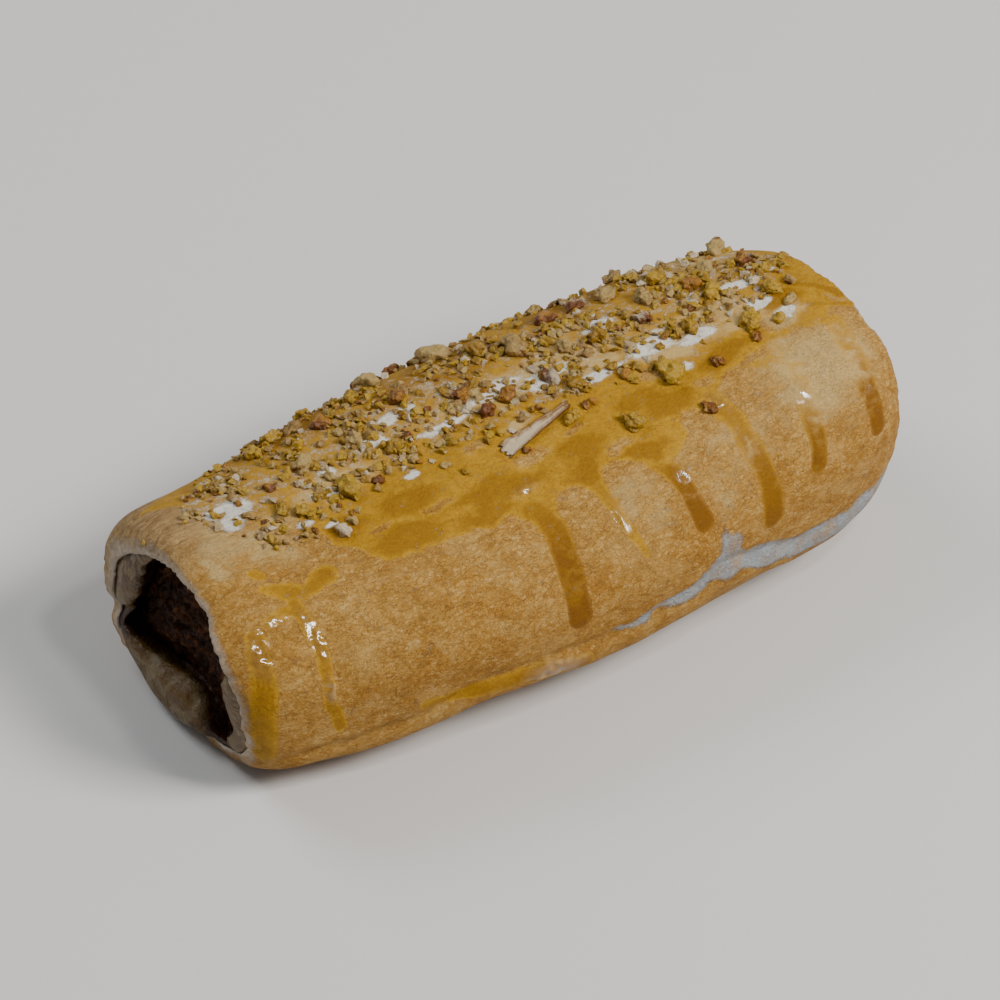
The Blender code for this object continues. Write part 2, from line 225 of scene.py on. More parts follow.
def rim_shift(x, angle):
    """How far the outer turn's torn rims stand in or out from the mouths."""
    near, far = x + LENGTH / 2, LENGTH / 2 - x
    a = math.radians(angle)
    wave = RIM_WAVE * noise.noise(Vector((3 * math.cos(a), 3 * math.sin(a), 0.5)))
    setback = swelling(angle, BASE_SETBACK)
    torn = swelling(angle, TEAR) - swelling(angle, FRONT_REACH)
    near_fade = clamp(1 - near / RIM_REACH) ** 2
    far_fade = clamp(1 - far / RIM_REACH) ** 2
    return near_fade * (wave + setback + torn) - far_fade * (wave + setback)


def on_skin(x, angle):
    """A point of the outer skin, never below the floor."""
    spot = place(x, angle, -relief(x, angle), False)
    base = max(lift(x), FOOT_SLOPE * (abs(spot.y) - FOOT_SIDE))
    return Vector((spot.x + rim_shift(x, angle), spot.y, max(spot.z, base)))


def inside(x, angle, depth):
    """A point this deep under the smooth form, moved with the rim above it."""
    spot = place(x, angle, depth, True)
    return Vector((spot.x + rim_shift(x, angle), spot.y, spot.z))


def wall(x, angle):
    """Thickness of the outer turn, thinner at its rims and thicker along the back."""
    fade = clamp((LENGTH / 2 - abs(x)) / WALL_FADE)
    return RIM_WALL + (WALL - RIM_WALL) * fade + swelling(angle, BACK_WALL)


print("top of the middle section:", round(on_skin(0, 90).z / MM, 1), "mm")


# %% [markdown]
# ## Camera and lights
# The camera comes first, so that every piece can be looked at as it is made. It stands well back
# with a long lens, above the near end. The light is that of a small studio: a soft key lamp from
# the front, a small one high up whose mirror image falls on the wet wrinkles, a weaker one from
# behind, and a pale world that fills the shadows.

# %% Camera and lights
AIM_HEIGHT = 20 * MM
# Each lamp's place in metres, its size, its power in watts and its tint.
LAMPS = {
    "key lamp": ((0.52, -0.54, 0.78), 0.34, 13.5, (1, 0.96, 0.91)),
    "glint lamp": ((0.20, -0.34, 0.90), 0.10, 1.8, (1, 0.98, 0.95)),
    "back lamp": ((-0.30, 0.60, 0.70), 0.40, 4.0, (0.93, 0.97, 1)),
}
WORLD_STRENGTH = 0.22


def new_object(name, data):
    """An object with this data, in the scene."""
    made = bpy.data.objects.new(name, data)
    bpy.context.scene.collection.objects.link(made)
    return made


def make_camera():
    """A long lens well away, looking down at 48 degrees across the near end."""
    turn, down, away = math.radians(30.33), math.radians(48), 1.5554
    picture_width, pixels_per_metre = 1000, 5597.0
    forward = Vector((math.sin(turn) * math.cos(down), math.cos(turn) * math.cos(down), -math.sin(down)))
    right = Vector((math.cos(turn), -math.sin(turn), 0))
    data = bpy.data.cameras.new("camera")
    camera = new_object("camera", data)
    stand = Vector((-MIDDLE[0], -MIDDLE[1], AIM_HEIGHT)) - forward * away
    camera.matrix_world = Matrix.Translation(stand) @ Matrix(
        (right, right.cross(forward), -forward)).transposed().to_4x4()
    data.sensor_width = 36
    data.lens = pixels_per_metre * away * data.sensor_width / picture_width
    data.shift_x, data.shift_y = -0.0036, 0.0061
    data.clip_start, data.clip_end = 0.1, 20
    bpy.context.scene.camera = camera


def make_lamp(name, place_at, size, power, tint):
    """A soft square lamp aimed at the roll."""
    data = bpy.data.lights.new(name, "AREA")
    data.size, data.energy, data.color = size, power, tint
    lamp = new_object(name, data)
    lamp.location = place_at
    aim = Vector((0, 0, AIM_HEIGHT)) - Vector(place_at)
    lamp.rotation_euler = aim.to_track_quat("-Z", "Y").to_euler()


def make_world(strength):
    """An even white light from all sides."""
    world = bpy.data.worlds.new("studio")
    world.use_nodes = True
    world.node_tree.nodes["Background"].inputs["Color"].default_value = (1, 1, 1, 1)
    world.node_tree.nodes["Background"].inputs["Strength"].default_value = strength
    bpy.context.scene.world = world


make_camera()
for lamp_name, lamp_settings in LAMPS.items():
    make_lamp(lamp_name, *lamp_settings)
make_world(WORLD_STRENGTH)
print("camera at", [round(v, 2) for v in bpy.context.scene.camera.location])


# %% [markdown]
# ## Shader maths as plain expressions
# A finish is a graph of nodes, and a long graph is hard to read as node calls. So one small class
# wraps an output socket and gives it the usual operators: `1 - mask` or `noise * 0.3 + 0.5` adds
# the Math nodes itself. Colours go through Mix nodes, because a Math node would turn them grey.
# Any other node comes from one method that takes its type, its settings and its sockets.

# %% Shader maths
class Value:
    """An output socket that can be used in plain expressions."""

    def __init__(self, finish, socket):
        self.finish, self.socket = finish, socket

    def maths(self, operation, one, two):
        return self.finish.node("ShaderNodeMath", {"operation": operation}, {0: one, 1: two})

    def __add__(self, other):
        return self.maths("ADD", self, other)

    def __sub__(self, other):
        return self.maths("SUBTRACT", self, other)

    def __rsub__(self, other):
        return self.maths("SUBTRACT", other, self)

    def __mul__(self, other):
        return self.maths("MULTIPLY", self, other)

    def __abs__(self):
        return self.maths("ABSOLUTE", self, 0)

    __radd__, __rmul__ = __add__, __mul__

    def ramp(self, low, high):
        """0 below low, 1 above high and smooth between them; it also runs downwards."""
        return self.finish.node("ShaderNodeMapRange", {"interpolation_type": "SMOOTHSTEP"},
                                {"Value": self, "From Min": low, "From Max": high})


class Finish:
    """A material and the graph that makes it."""

    def __init__(self, name):
        self.material = bpy.data.materials.new(name)
        self.material.use_nodes = True
        self.tree = self.material.node_tree
        self.shader = self.tree.nodes["Principled BSDF"]
        self.spot = self.node("ShaderNodeTexCoord", {}, {}, "Object")

    def node(self, kind, settings, sockets, output=0):
        """Adds a node with its settings, then its sockets' values or links."""
        made = self.tree.nodes.new(kind)
        for key, value in settings.items():
            setattr(made, key, value)
        for key, value in sockets.items():
            self.feed(made.inputs[key], value)
        return Value(self, made.outputs[output])

    def feed(self, socket, value):
        """Links a Value to a socket, or sets a plain number, colour or vector on it."""
        if isinstance(value, Value):
            self.tree.links.new(value.socket, socket)
        elif isinstance(value, tuple) and socket.type == "RGBA":
            socket.default_value = (*value, 1)
        else:
            socket.default_value = value

    def noise(self, size, detail=3.0, rough=0.5, swirl=0.0, stretch=(1, 1, 1)):
        """Noise from 0 to 1 whose features are about this size in metres."""
        spot = self.node("ShaderNodeVectorMath", {"operation": "MULTIPLY"}, {0: self.spot, 1: stretch})
        return self.node("ShaderNodeTexNoise", {}, {"Vector": spot, "Scale": 1 / size, "Detail": detail,
                                                    "Roughness": rough, "Distortion": swirl})

    def cells(self, size):
        """Cells of about this size: the distance to the nearest cell's middle."""
        return self.node("ShaderNodeTexVoronoi", {}, {"Vector": self.spot, "Scale": 1 / size}, "Distance")

    def mix(self, share, one, two):
        """Blends two colours."""
        return self.node("ShaderNodeMix", {"data_type": "RGBA", "clamp_factor": True},
                         {0: share, 6: one, 7: two}, 2)

    def painted(self, name):
        """A number stored on the mesh, point by point."""
        return self.node("ShaderNodeAttribute", {"attribute_name": name}, {}, "Fac")

    def dent(self, height, depth, under=None):
        """A normal roughened by a height, of which 1 is this deep in metres."""
        sockets = {"Height": height, "Distance": depth, "Strength": 1.0}
        if under is not None:
            sockets["Normal"] = under
        return self.node("ShaderNodeBump", {}, sockets)

    def set(self, **sockets):
        """Fills the shader's sockets, named with _ for a space, and gives back the material."""
        for name, value in sockets.items():
            self.feed(self.shader.inputs[name.replace("_", " ")], value)
        print(self.material.name, "has", len(self.tree.nodes), "nodes")
        return self.material


print("operators on sockets:", sorted(key for key in vars(Value) if key.startswith("__r")))


# %% [markdown]
# ## Where the syrup and the flour lie
# Syrup is a thin amber film. It covers the top, stops at a ragged edge on the front and sends runs
# down from it, and here and there it has dried in wrinkles that glint. Flour is white and dry, in
# patches on the top and in a band along the seam. Both follow the dough's surface, so each is
# painted on the mesh as a number per point, from strokes that are listed as (mm along, degrees
# round). A picture texture would need unwrapping, and a pattern in the shader alone could not
# follow the runs.

# %% Strokes on the surface
DEGREE = 0.5  # mm round the skin for one degree, about the same everywhere


def stroke(x, angle, points, widths, depths):
    """A stroke through the points, 0 at its edges; half widths in mm and depths at its two ends."""
    best = np.zeros_like(x)
    steps = len(points) - 1
    for i, ((x1, a1), (x2, a2)) in enumerate(zip(points, points[1:])):
        dx, da = x2 - x1, (a2 - a1) * DEGREE
        px, pa = x - x1, ((angle - a1 + 180) % 360 - 180) * DEGREE
        t = np.clip((px * dx + pa * da) / (dx * dx + da * da + 1e-9), 0, 1)
        gap = np.hypot(px - t * dx, pa - t * da)
        share = (i + t) / steps
        width = widths[0] + (widths[1] - widths[0]) * share
        depth = depths[0] + (depths[1] - depths[0]) * share
        best = np.maximum(best, depth * np.clip(1.6 * (1 - gap / width), 0, 1))
    return best


def patch(x, angle, at, size):
    """1 in the middle of an oval patch, 0 at its edge; size is its half length and half width in mm."""
    px, pa = x - at[0], ((angle - at[1] + 180) % 360 - 180) * DEGREE
    return np.clip(1 - np.hypot(px / size[0], pa / size[1]), 0, 1)


def unwound(angle):
    """Degrees from -90 to 270, with the break on the base, away from what is painted."""
    return (angle + 90) % 360 - 90


# Where the cover ends on the front and on the back, as (mm along, degrees round).
SYRUP_FRONT = ((-66, 30), (-58, 40), (-52, 72), (-46, 92), (-40, 108), (-35, 128), (-29, 133), (-22, 136),
               (-15, 134), (-10, 137), (-4, 143), (1, 139), (5, 136), (9, 141), (14, 134), (18, 139),
               (23, 144), (27, 139), (31, 124), (36, 132), (41, 116), (48, 126), (54, 108), (59, 118),
               (63, 98), (66, 90))
SYRUP_BACK = ((-66, 40), (-56, 24), (-44, 6), (-36, -8), (-30, 4), (-20, -6), (-12, 6), (-4, -12), (4, 2),
              (14, -8), (22, 4), (30, -14), (38, 2), (46, -4), (56, 8), (62, 30), (66, 50))
# Runs of syrup: points, then half widths in mm and depths at the two ends.
SYRUP_RUNS = (
    (((-61.6, 142), (-62.4, 152), (-63.2, 164), (-64.0, 180), (-64.6, 204)), (2.0, 2.0), (0.75, 0.6)),
    (((-55.2, 110), (-54.4, 113)), (1.8, 1.8), (0.6, 0.6)),
    (((-55.6, 122), (-53.6, 125), (-51.4, 128)), (2.0, 3.2), (0.45, 0.7)),
    (((-50.0, 131), (-47.0, 130), (-44.0, 127)), (1.6, 3.4), (0.6, 0.8)),
    (((-58.6, 139), (-54.5, 136), (-52.2, 138)), (1.7, 1.9), (0.55, 0.6)),
    (((-52.5, 134), (-51.8, 146), (-51.9, 155), (-53.0, 166), (-53.4, 177), (-51.4, 190)),
     (1.9, 1.7), (0.7, 0.7)),
    (((-3.0, 138), (-2.0, 148), (-2.6, 160), (-3.2, 176)), (3.0, 2.6), (0.8, 1.45)),
    (((8.0, 134), (9.2, 144), (10.2, 155), (11.6, 166)), (2.4, 1.1), (0.7, 0.45)),
    (((20.0, 140), (22.6, 147), (23.6, 154), (23.6, 165)), (2.0, 1.9), (0.6, 1.35)),
    (((35.4, 124), (36.8, 140), (37.2, 152), (37.4, 165), (37.0, 176)), (2.6, 2.3), (0.55, 1.15)),
    (((50.0, 126), (48.8, 146), (47.6, 157), (46.8, 166)), (2.2, 1.7), (0.4, 1.25)),
    (((60.4, 114), (59.4, 142), (59.0, 152), (58.8, 165)), (2.2, 1.9), (0.4, 1.4)),
    (((54, 66), (58, 76), (62.2, 86), (65, 100)), (1.6, 1.5), (0.55, 0.8)),
    (((52, 88), (56, 95), (60, 101), (65, 108)), (1.2, 1.3), (0.5, 0.7)),
    (((-34, 190), (-24, 192), (-12, 193), (-2, 197)), (1.6, 2.0), (0.6, 0.9)),
    (((-36, 0), (-35, -18), (-36, -34)), (2.2, 1.8), (0.7, 0.9)),
    (((-4, -8), (-5, -24), (-3, -44)), (2.4, 1.9), (0.7, 1.0)),
    (((30, -10), (31, -26)), (2.1, 1.8), (0.6, 0.9)),
    (((14, -4), (13, -20), (15, -30)), (1.6, 1.6), (0.5, 0.8)),
)
# Pools, where the film is deepest: place, then half length and half width in mm.
SYRUP_POOLS = (
    ((24, 109), (6, 4)), ((29, 118), (6, 4)), ((-8, 124), (12, 5)), ((-3, 141), (6, 2.5)),
    ((-12, 133), (8, 2.2)), ((-36, 106), (6, 4)), ((10, 120), (6, 5)), ((-26, 126), (8, 4)),
    ((42, 106), (7, 4)), ((-22, 108), (8, 5)), ((55, 86), (5, 4)), ((20, 134), (5, 3)), ((8, 132), (4, 3)),
    ((0, 30), (16, 8)), ((30, 20), (14, 7)), ((-30, 24), (12, 7)), ((-2, 84), (3, 1.8)),
    ((14, 74), (2, 1.4)), ((43, 78), (4, 2.4)),
)
# Thin places, where the dough shows through the film.
SYRUP_GAPS = (((-51, 70), (7, 9)), ((-44, 90), (5, 5)), ((17, 128), (4, 2.4)), ((45, 112), (5, 4)),
              ((-6, 92), (5, 3)), ((36, 116), (4, 2.6)), ((-18, 118), (5, 3)), ((2, 112), (5, 3)),
              ((-4, 130), (5, 1.8)), ((52, 100), (5, 4)), ((-30, 116), (4, 2)), ((12, 108), (4, 2)),
              ((30, 96), (4, 3)), ((-14, 126), (4, 1.6)), ((14, 136), (3, 1.6)))
# Flour on the top, as places with half sizes in mm, then along the seam, as strokes.
FLOUR_PATCHES = (
    ((-8, 66), (7, 2.0)), ((22, 80), (6, 2.6)), ((40, 84), (5, 2.2)), ((-34, 78), (4, 2.4)),
    ((28, 48), (5, 2.4)), ((58, 60), (4, 3)), ((-14, 46), (5, 2.2)), ((52, 64), (5, 2.4)),
    ((-50.6, 61), (5.4, 5.2)), ((-51.6, 70), (3.0, 5.4)),
    ((-31, 62), (2.6, 2.4)), ((-20.4, 55), (2.6, 2.4)), ((-19, 90), (2.2, 2.0)), ((6, 56), (5.5, 2.2)),
    ((14, 64), (7.5, 4.2)), ((2, 60), (5, 2.4)), ((33, 75), (6.6, 5.2)), ((34, 100), (3.4, 2.4)),
    ((52, 83), (2.6, 2.6)), ((54.6, 96), (1.8, 2.6)), ((44, 60), (2.6, 2.0)), ((-41.5, 92), (2.2, 2.0)),
    ((-38, 101), (2.0, 1.4)), ((-30, 16), (2.4, 1.8)), ((20, 14), (3, 1.6)),
)
FLOUR_BAND = (
    (((3, 190), (9, 189), (14, 190), (20, 188), (25, 183), (27.5, 177)), (0.9, 2.6), (0.9, 1.5)),
    (((25, 186), (30, 187), (36, 191), (42, 198), (48, 200), (56, 201), (61, 203), (65, 203)),
     (2.6, 2.6), (1.5, 1.3)),
    (((27.5, 177), (29.5, 185)), (1.5, 2.4), (1.4, 1.5)),
)
# Where the film is wrinkled.
GLINTS = (((-58.5, 139), (4.5, 3)), ((-62.2, 150), (2.6, 7.5)), ((-52.0, 148), (2.4, 8)),
          ((-52.6, 170), (2.2, 4)), ((35.6, 127), (3.4, 3.4)), ((9, 154), (2, 3)), ((24, 148), (2, 2)),
          ((-22, 137), (4, 2)), ((48.6, 138), (2, 3)), ((-3, 128), (4, 2)), ((-8, 194), (8, 3)))
# Pale, dusty dough, as places with half sizes and how pale it is.
CREAM_PATCHES = (
    ((10, 60), (38, 10), 1.0), ((40, 78), (20, 11), 1.0), ((-30, 72), (18, 8), 1.0),
    ((-50, 92), (9, 12), 0.8), ((50, 30), (14, 9), 1.0), ((-44, 82), (6, 7), 1.0),
    ((-47, 104), (4, 5), 0.6), ((8, 60), (13, 5), 1.2), ((22, 72), (8, 5), 1.2), ((34, 84), (8, 7), 1.2),
    ((48, 88), (8, 7), 1.0), ((40, 70), (7, 5), 1.0), ((54, 98), (6, 6), 0.9), ((4, 88), (5, 2.4), 1.0),
    ((-58, 86), (5, 12), 0.8), ((-61, 98), (3, 7), 1.1), ((-34, 84), (4, 3), 1.0),
    ((54, 132), (14, 18), 0.85), ((36, 146), (10, 9), 0.55), ((14, 150), (9, 8), 0.5),
    ((28, 158), (8, 8), 0.5), ((-56, 78), (6, 22), 0.7),
)
print(len(SYRUP_RUNS), "runs of syrup and", len(FLOUR_PATCHES), "patches of flour")


# %% [markdown]
# ## The film's height, point by point
# The cover is thinned at its gaps and deepened at its pools, and the runs are joined to it by
# taking the greater of the two. The result is 0 on dry dough and 1 where the syrup is thick, and
# it also lifts the surface by a fraction of a millimetre, as a real film does. Flour, pale dough,
# wrinkles and nuts each get a number of the same kind.

# %% Syrup and flour as numbers
COVER_DEPTH, COVER_EDGE, GAP_LOSS, POOL_DEPTH = 0.46, 2.0, 0.75, 0.55  # shares, and an edge in mm
RIPE_DEPTH = 0.75  # a run that ends deeper than this is darker there
RUN_STRAY, FLOUR_STRAY = 0.3, 0.8  # how much of the straying their edges take
NUT_DUST = 0.30  # the least flour in the thick of the nuts


def strayed(x, angle, wander, share):
    """The places, pushed about so that what is read at them has a straying edge."""
    return x + share * wander[0], angle + share * wander[1] / DEGREE


def patches_at(x, angle, patches, gain):
    """The greatest of some patches, each made steeper at its edge."""
    best = np.zeros_like(x)
    for at, size in patches:
        best = np.maximum(best, np.clip(gain * patch(x, angle, at, size), 0, 1))
    return best


def read_table(table, x):
    """The values at places x in a table of (place, value) pairs, along straight lines."""
    places, values = zip(*table)
    return np.interp(x, places, values)


def syrup_at(x, angle, wander):
    """How deep the film is, from 0 to 1, for arrays of mm along and degrees round."""
    cover = strayed(x, angle, wander, 1)
    front = (read_table(SYRUP_FRONT, cover[0]) - unwound(cover[1])) * DEGREE
    back = (unwound(cover[1]) - read_table(SYRUP_BACK, cover[0])) * DEGREE
    film = COVER_DEPTH * np.clip(np.minimum(front, back) / COVER_EDGE, 0, 1)
    for at, size in SYRUP_GAPS:
        film *= 1 - GAP_LOSS * np.clip(2.0 * patch(*cover, at, size), 0, 1)
    for at, size in SYRUP_POOLS:
        film = film + POOL_DEPTH * np.clip(1.6 * patch(*cover, at, size), 0, 1) * (film > 0.02)
    film = np.clip(film, 0, 1)
    for points, widths, depths in SYRUP_RUNS:
        film = np.maximum(film, stroke(*strayed(x, angle, wander, RUN_STRAY), points, widths, depths))
    return np.clip(film, 0, 1)


def ripe_at(x, angle, wander):
    """How much darker a run is towards its lower end, where the syrup gathers."""
    x, angle = strayed(x, angle, wander, RUN_STRAY)
    ripe = np.zeros_like(x)
    for points, widths, depths in SYRUP_RUNS:
        wide = tuple(1.6 * width for width in widths)
        deep = (0.0, 2.0 * max(0.0, depths[1] - RIPE_DEPTH))
        ripe = np.maximum(ripe, stroke(x, angle, points, wide, deep))
    return np.clip(ripe, 0, 1)


def flour_at(x, angle, wander):
    """How much flour lies on the dough, from 0 to 1."""
    x, angle = strayed(x, angle, wander, FLOUR_STRAY)
    flour = patches_at(x, angle, FLOUR_PATCHES, 2.6)
    for points, widths, depths in FLOUR_BAND:
        flour = np.maximum(flour, stroke(x, angle, points, widths, depths))
    return flour


def dusted(flour, nuts):
    """Flour also hangs about in the thick of the nuts."""
    return np.maximum(flour, NUT_DUST * nuts)


def cream_at(x, angle, wander):
    """How pale and dusty the dough is, from 0 to 1."""
    x, angle = strayed(x, angle, wander, 1)
    cream = np.zeros_like(x)
    for at, size, much in CREAM_PATCHES:
        cream = np.maximum(cream, much * np.clip(1.5 * patch(x, angle, at, size), 0, 1))
    return cream


def seam_shade_at(angle):
    """1 low on the front along the seam, where the flour is painted blue-grey as shade under the lip, and 0
    on the top.
    """
    return np.clip((unwound(angle) - 150) / 20, 0, 1)


def glint_at(x, angle):
    """Where the film has dried in wrinkles that catch the light, from 0 to 1."""
    return patches_at(x, angle, GLINTS, 1.5)


# Where the band of nuts ends on the front and on the back, as (mm along, degrees round).
NUTS_FRONT = ((-60, 60), (-52, 92), (-46, 114), (-36, 116), (-28, 98), (-10, 92), (0, 96), (14, 98),
              (30, 102), (44, 100), (56, 88), (64, 60))
NUTS_BACK = ((-60, 50), (-48, 14), (0, 2), (40, 4), (60, 26), (64, 50))


def nuts_at(x, angle):
    """How thickly the small crumbs of nut lie, from 0 to 1."""
    around = unwound(angle)
    front = np.clip((read_table(NUTS_FRONT, x) - around) / 14, 0, 1)
    back = np.clip((around - read_table(NUTS_BACK, x)) / 10, 0, 1)
    return front * back * (0.35 + 0.65 * np.exp(-((around - 50) / 30) ** 2))


def dry_and_shade_at(x, angle):
    """How dry and ribbed the skin is, from 0 to 1: over the near mouth, towards the back. It is also painted
    darker there, with darker grooves, as painted shade.
    """
    around = unwound(angle)
    above = np.clip((104 - around) / 40, 0, 1) * np.clip((around + 40) / 40, 0, 1)
    return np.clip((-46 - x) / 14, 0, 1) * above


def bake_and_shade_at(angle):
    """How brown the dough is painted: browned all over by the oven, and browner low down near the pan and
    along the front, partly from the oven and partly as painted shade.
    """
    return 0.55 + 0.5 * np.exp(-((angle - 232) / 26) ** 2) + 0.2 * np.exp(-((angle - 180) / 16) ** 2)


print("film on the main run:", float(syrup_at(np.array([-3.0]), np.array([160.0]), (0, 0))[0]))


# %% [markdown]
# ## Lofting rings into a closed body
# Every layer is a stack of rings of points, joined ring to ring by quads. The outer turn is a
# tube, so its rings run along the skin, round the far rim, back through the bore and round the
# near rim to where they started. The inner turn and the filling have ends, which are capped.

# %% Lofting
def loft(name, rings, joined, painted=None):
    """A closed mesh object through rings of points, with numbers painted on its points."""
    rings = np.asarray(rings, float)
    count, size = rings.shape[:2]
    index = np.arange(count * size).reshape(count, size)
    below = index if joined else index[:-1]
    above = np.roll(index, -1, 0) if joined else index[1:]
    quads = np.stack([below, np.roll(below, -1, 1), np.roll(above, -1, 1), above], -1).reshape(-1, 4)
    faces = quads.tolist()
    if not joined:
        faces += end_strip(index[0][::-1].tolist()) + end_strip(index[-1].tolist())
    return mesh_piece(name, rings.reshape(-1, 3).tolist(), faces, painted)


def end_strip(ring):
    """Faces that close an end ring by joining its first half to its second, so a C stays a C."""
    return [[ring[i], ring[i + 1], ring[-2 - i], ring[-1 - i]] for i in range(len(ring) // 2 - 1)]


def mesh_piece(name, points, faces, painted=None):
    """A smooth-shaded object from points and faces, turned outwards, with numbers on its points."""
    data = bpy.data.meshes.new(name)
    data.from_pydata(points, [], faces)
    for key, values in (painted or {}).items():
        layer = data.attributes.new(key, "FLOAT", "POINT")
        layer.data.foreach_set("value", np.asarray(values, np.float32).reshape(-1))
    made = new_object(name, data)
    face_outwards(made)
    data.shade_smooth()
    return made


def face_outwards(piece):
    """Turns the faces round if the body's volume comes out negative."""
    mesh = bmesh.new()
    mesh.from_mesh(piece.data)
    if mesh.calc_volume(signed=True) < 0:
        bmesh.ops.reverse_faces(mesh, faces=mesh.faces)
        mesh.to_mesh(piece.data)
    mesh.free()


def finish_piece(piece, material, node):
    """Gives a piece its material and its place in the frame."""
    piece.data.materials.clear()
    piece.data.materials.append(material)
    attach(piece, "root")
    if node:
        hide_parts(node)
    triangles = sum(len(face.vertices) - 2 for face in piece.data.polygons)
    print(piece.name, "has", triangles, "triangles")


print("a ring of 8 points is closed by", len(end_strip(list(range(8)))), "faces")


# %% [markdown]
# ## The dough's colour, and the shade painted into it
# A baked crust goes from pale at the folds and rims to golden where the oven reached it, with
# browner freckles and a network of fine crinkles from the dough's stretched skin. The crinkles'
# grooves are painted browner, which is painted shade, and the front and the low side near the pan
# are painted browner, partly as shade. Over the near mouth the dry, ribbed skin is greyer, and it is
# also painted darker, with darker grooves, as painted shade. Syrup makes it darker and yellower,
# most at the foot of a run, and a glossy coat lies only where the film is wrinkled. Flour makes it
# white and dull, but low on the seam it is painted blue-grey, as painted shade under the lip. Each
# is a mask over the one before, and several sizes of noise roughen the masks' edges. One mask for
# each would be quicker, but its edges would be clean.

# %% Baked dough
PALE_DOUGH = (0.47, 0.266, 0.066)
GOLDEN_DOUGH = (0.36, 0.171, 0.023)
BROWN_DOUGH = (0.15, 0.052, 0.003)
CREAM_DOUGH = (0.54, 0.39, 0.16)
RIM_DOUGH = (0.60, 0.52, 0.43)
AMBER = (0.42, 0.222, 0.0)
DEEP_AMBER = (0.26, 0.120, 0.0)
RUN_AMBER = (0.165, 0.062, 0.0)
THIN_AMBER = (0.50, 0.29, 0.008)
AMBER_GRAIN = (0.19, 0.075, 0.0)
PALE_GRAIN = (0.62, 0.44, 0.18)
PALE_ZONE = (0.58, 0.38, 0.13)
# The dry, ribbed skin is greyer; its darker colour and its darker grooves are painted shade.
DRY_GROOVE_SHADE, DRY_RIB_SHADED = (0.20, 0.125, 0.06), (0.42, 0.29, 0.14)
FLOUR_WHITE = (0.70, 0.68, 0.62)
# Flour low on the seam, painted blue-grey: painted shade under the lip.
FLOUR_BLUE_SHADE = (0.29, 0.335, 0.37)


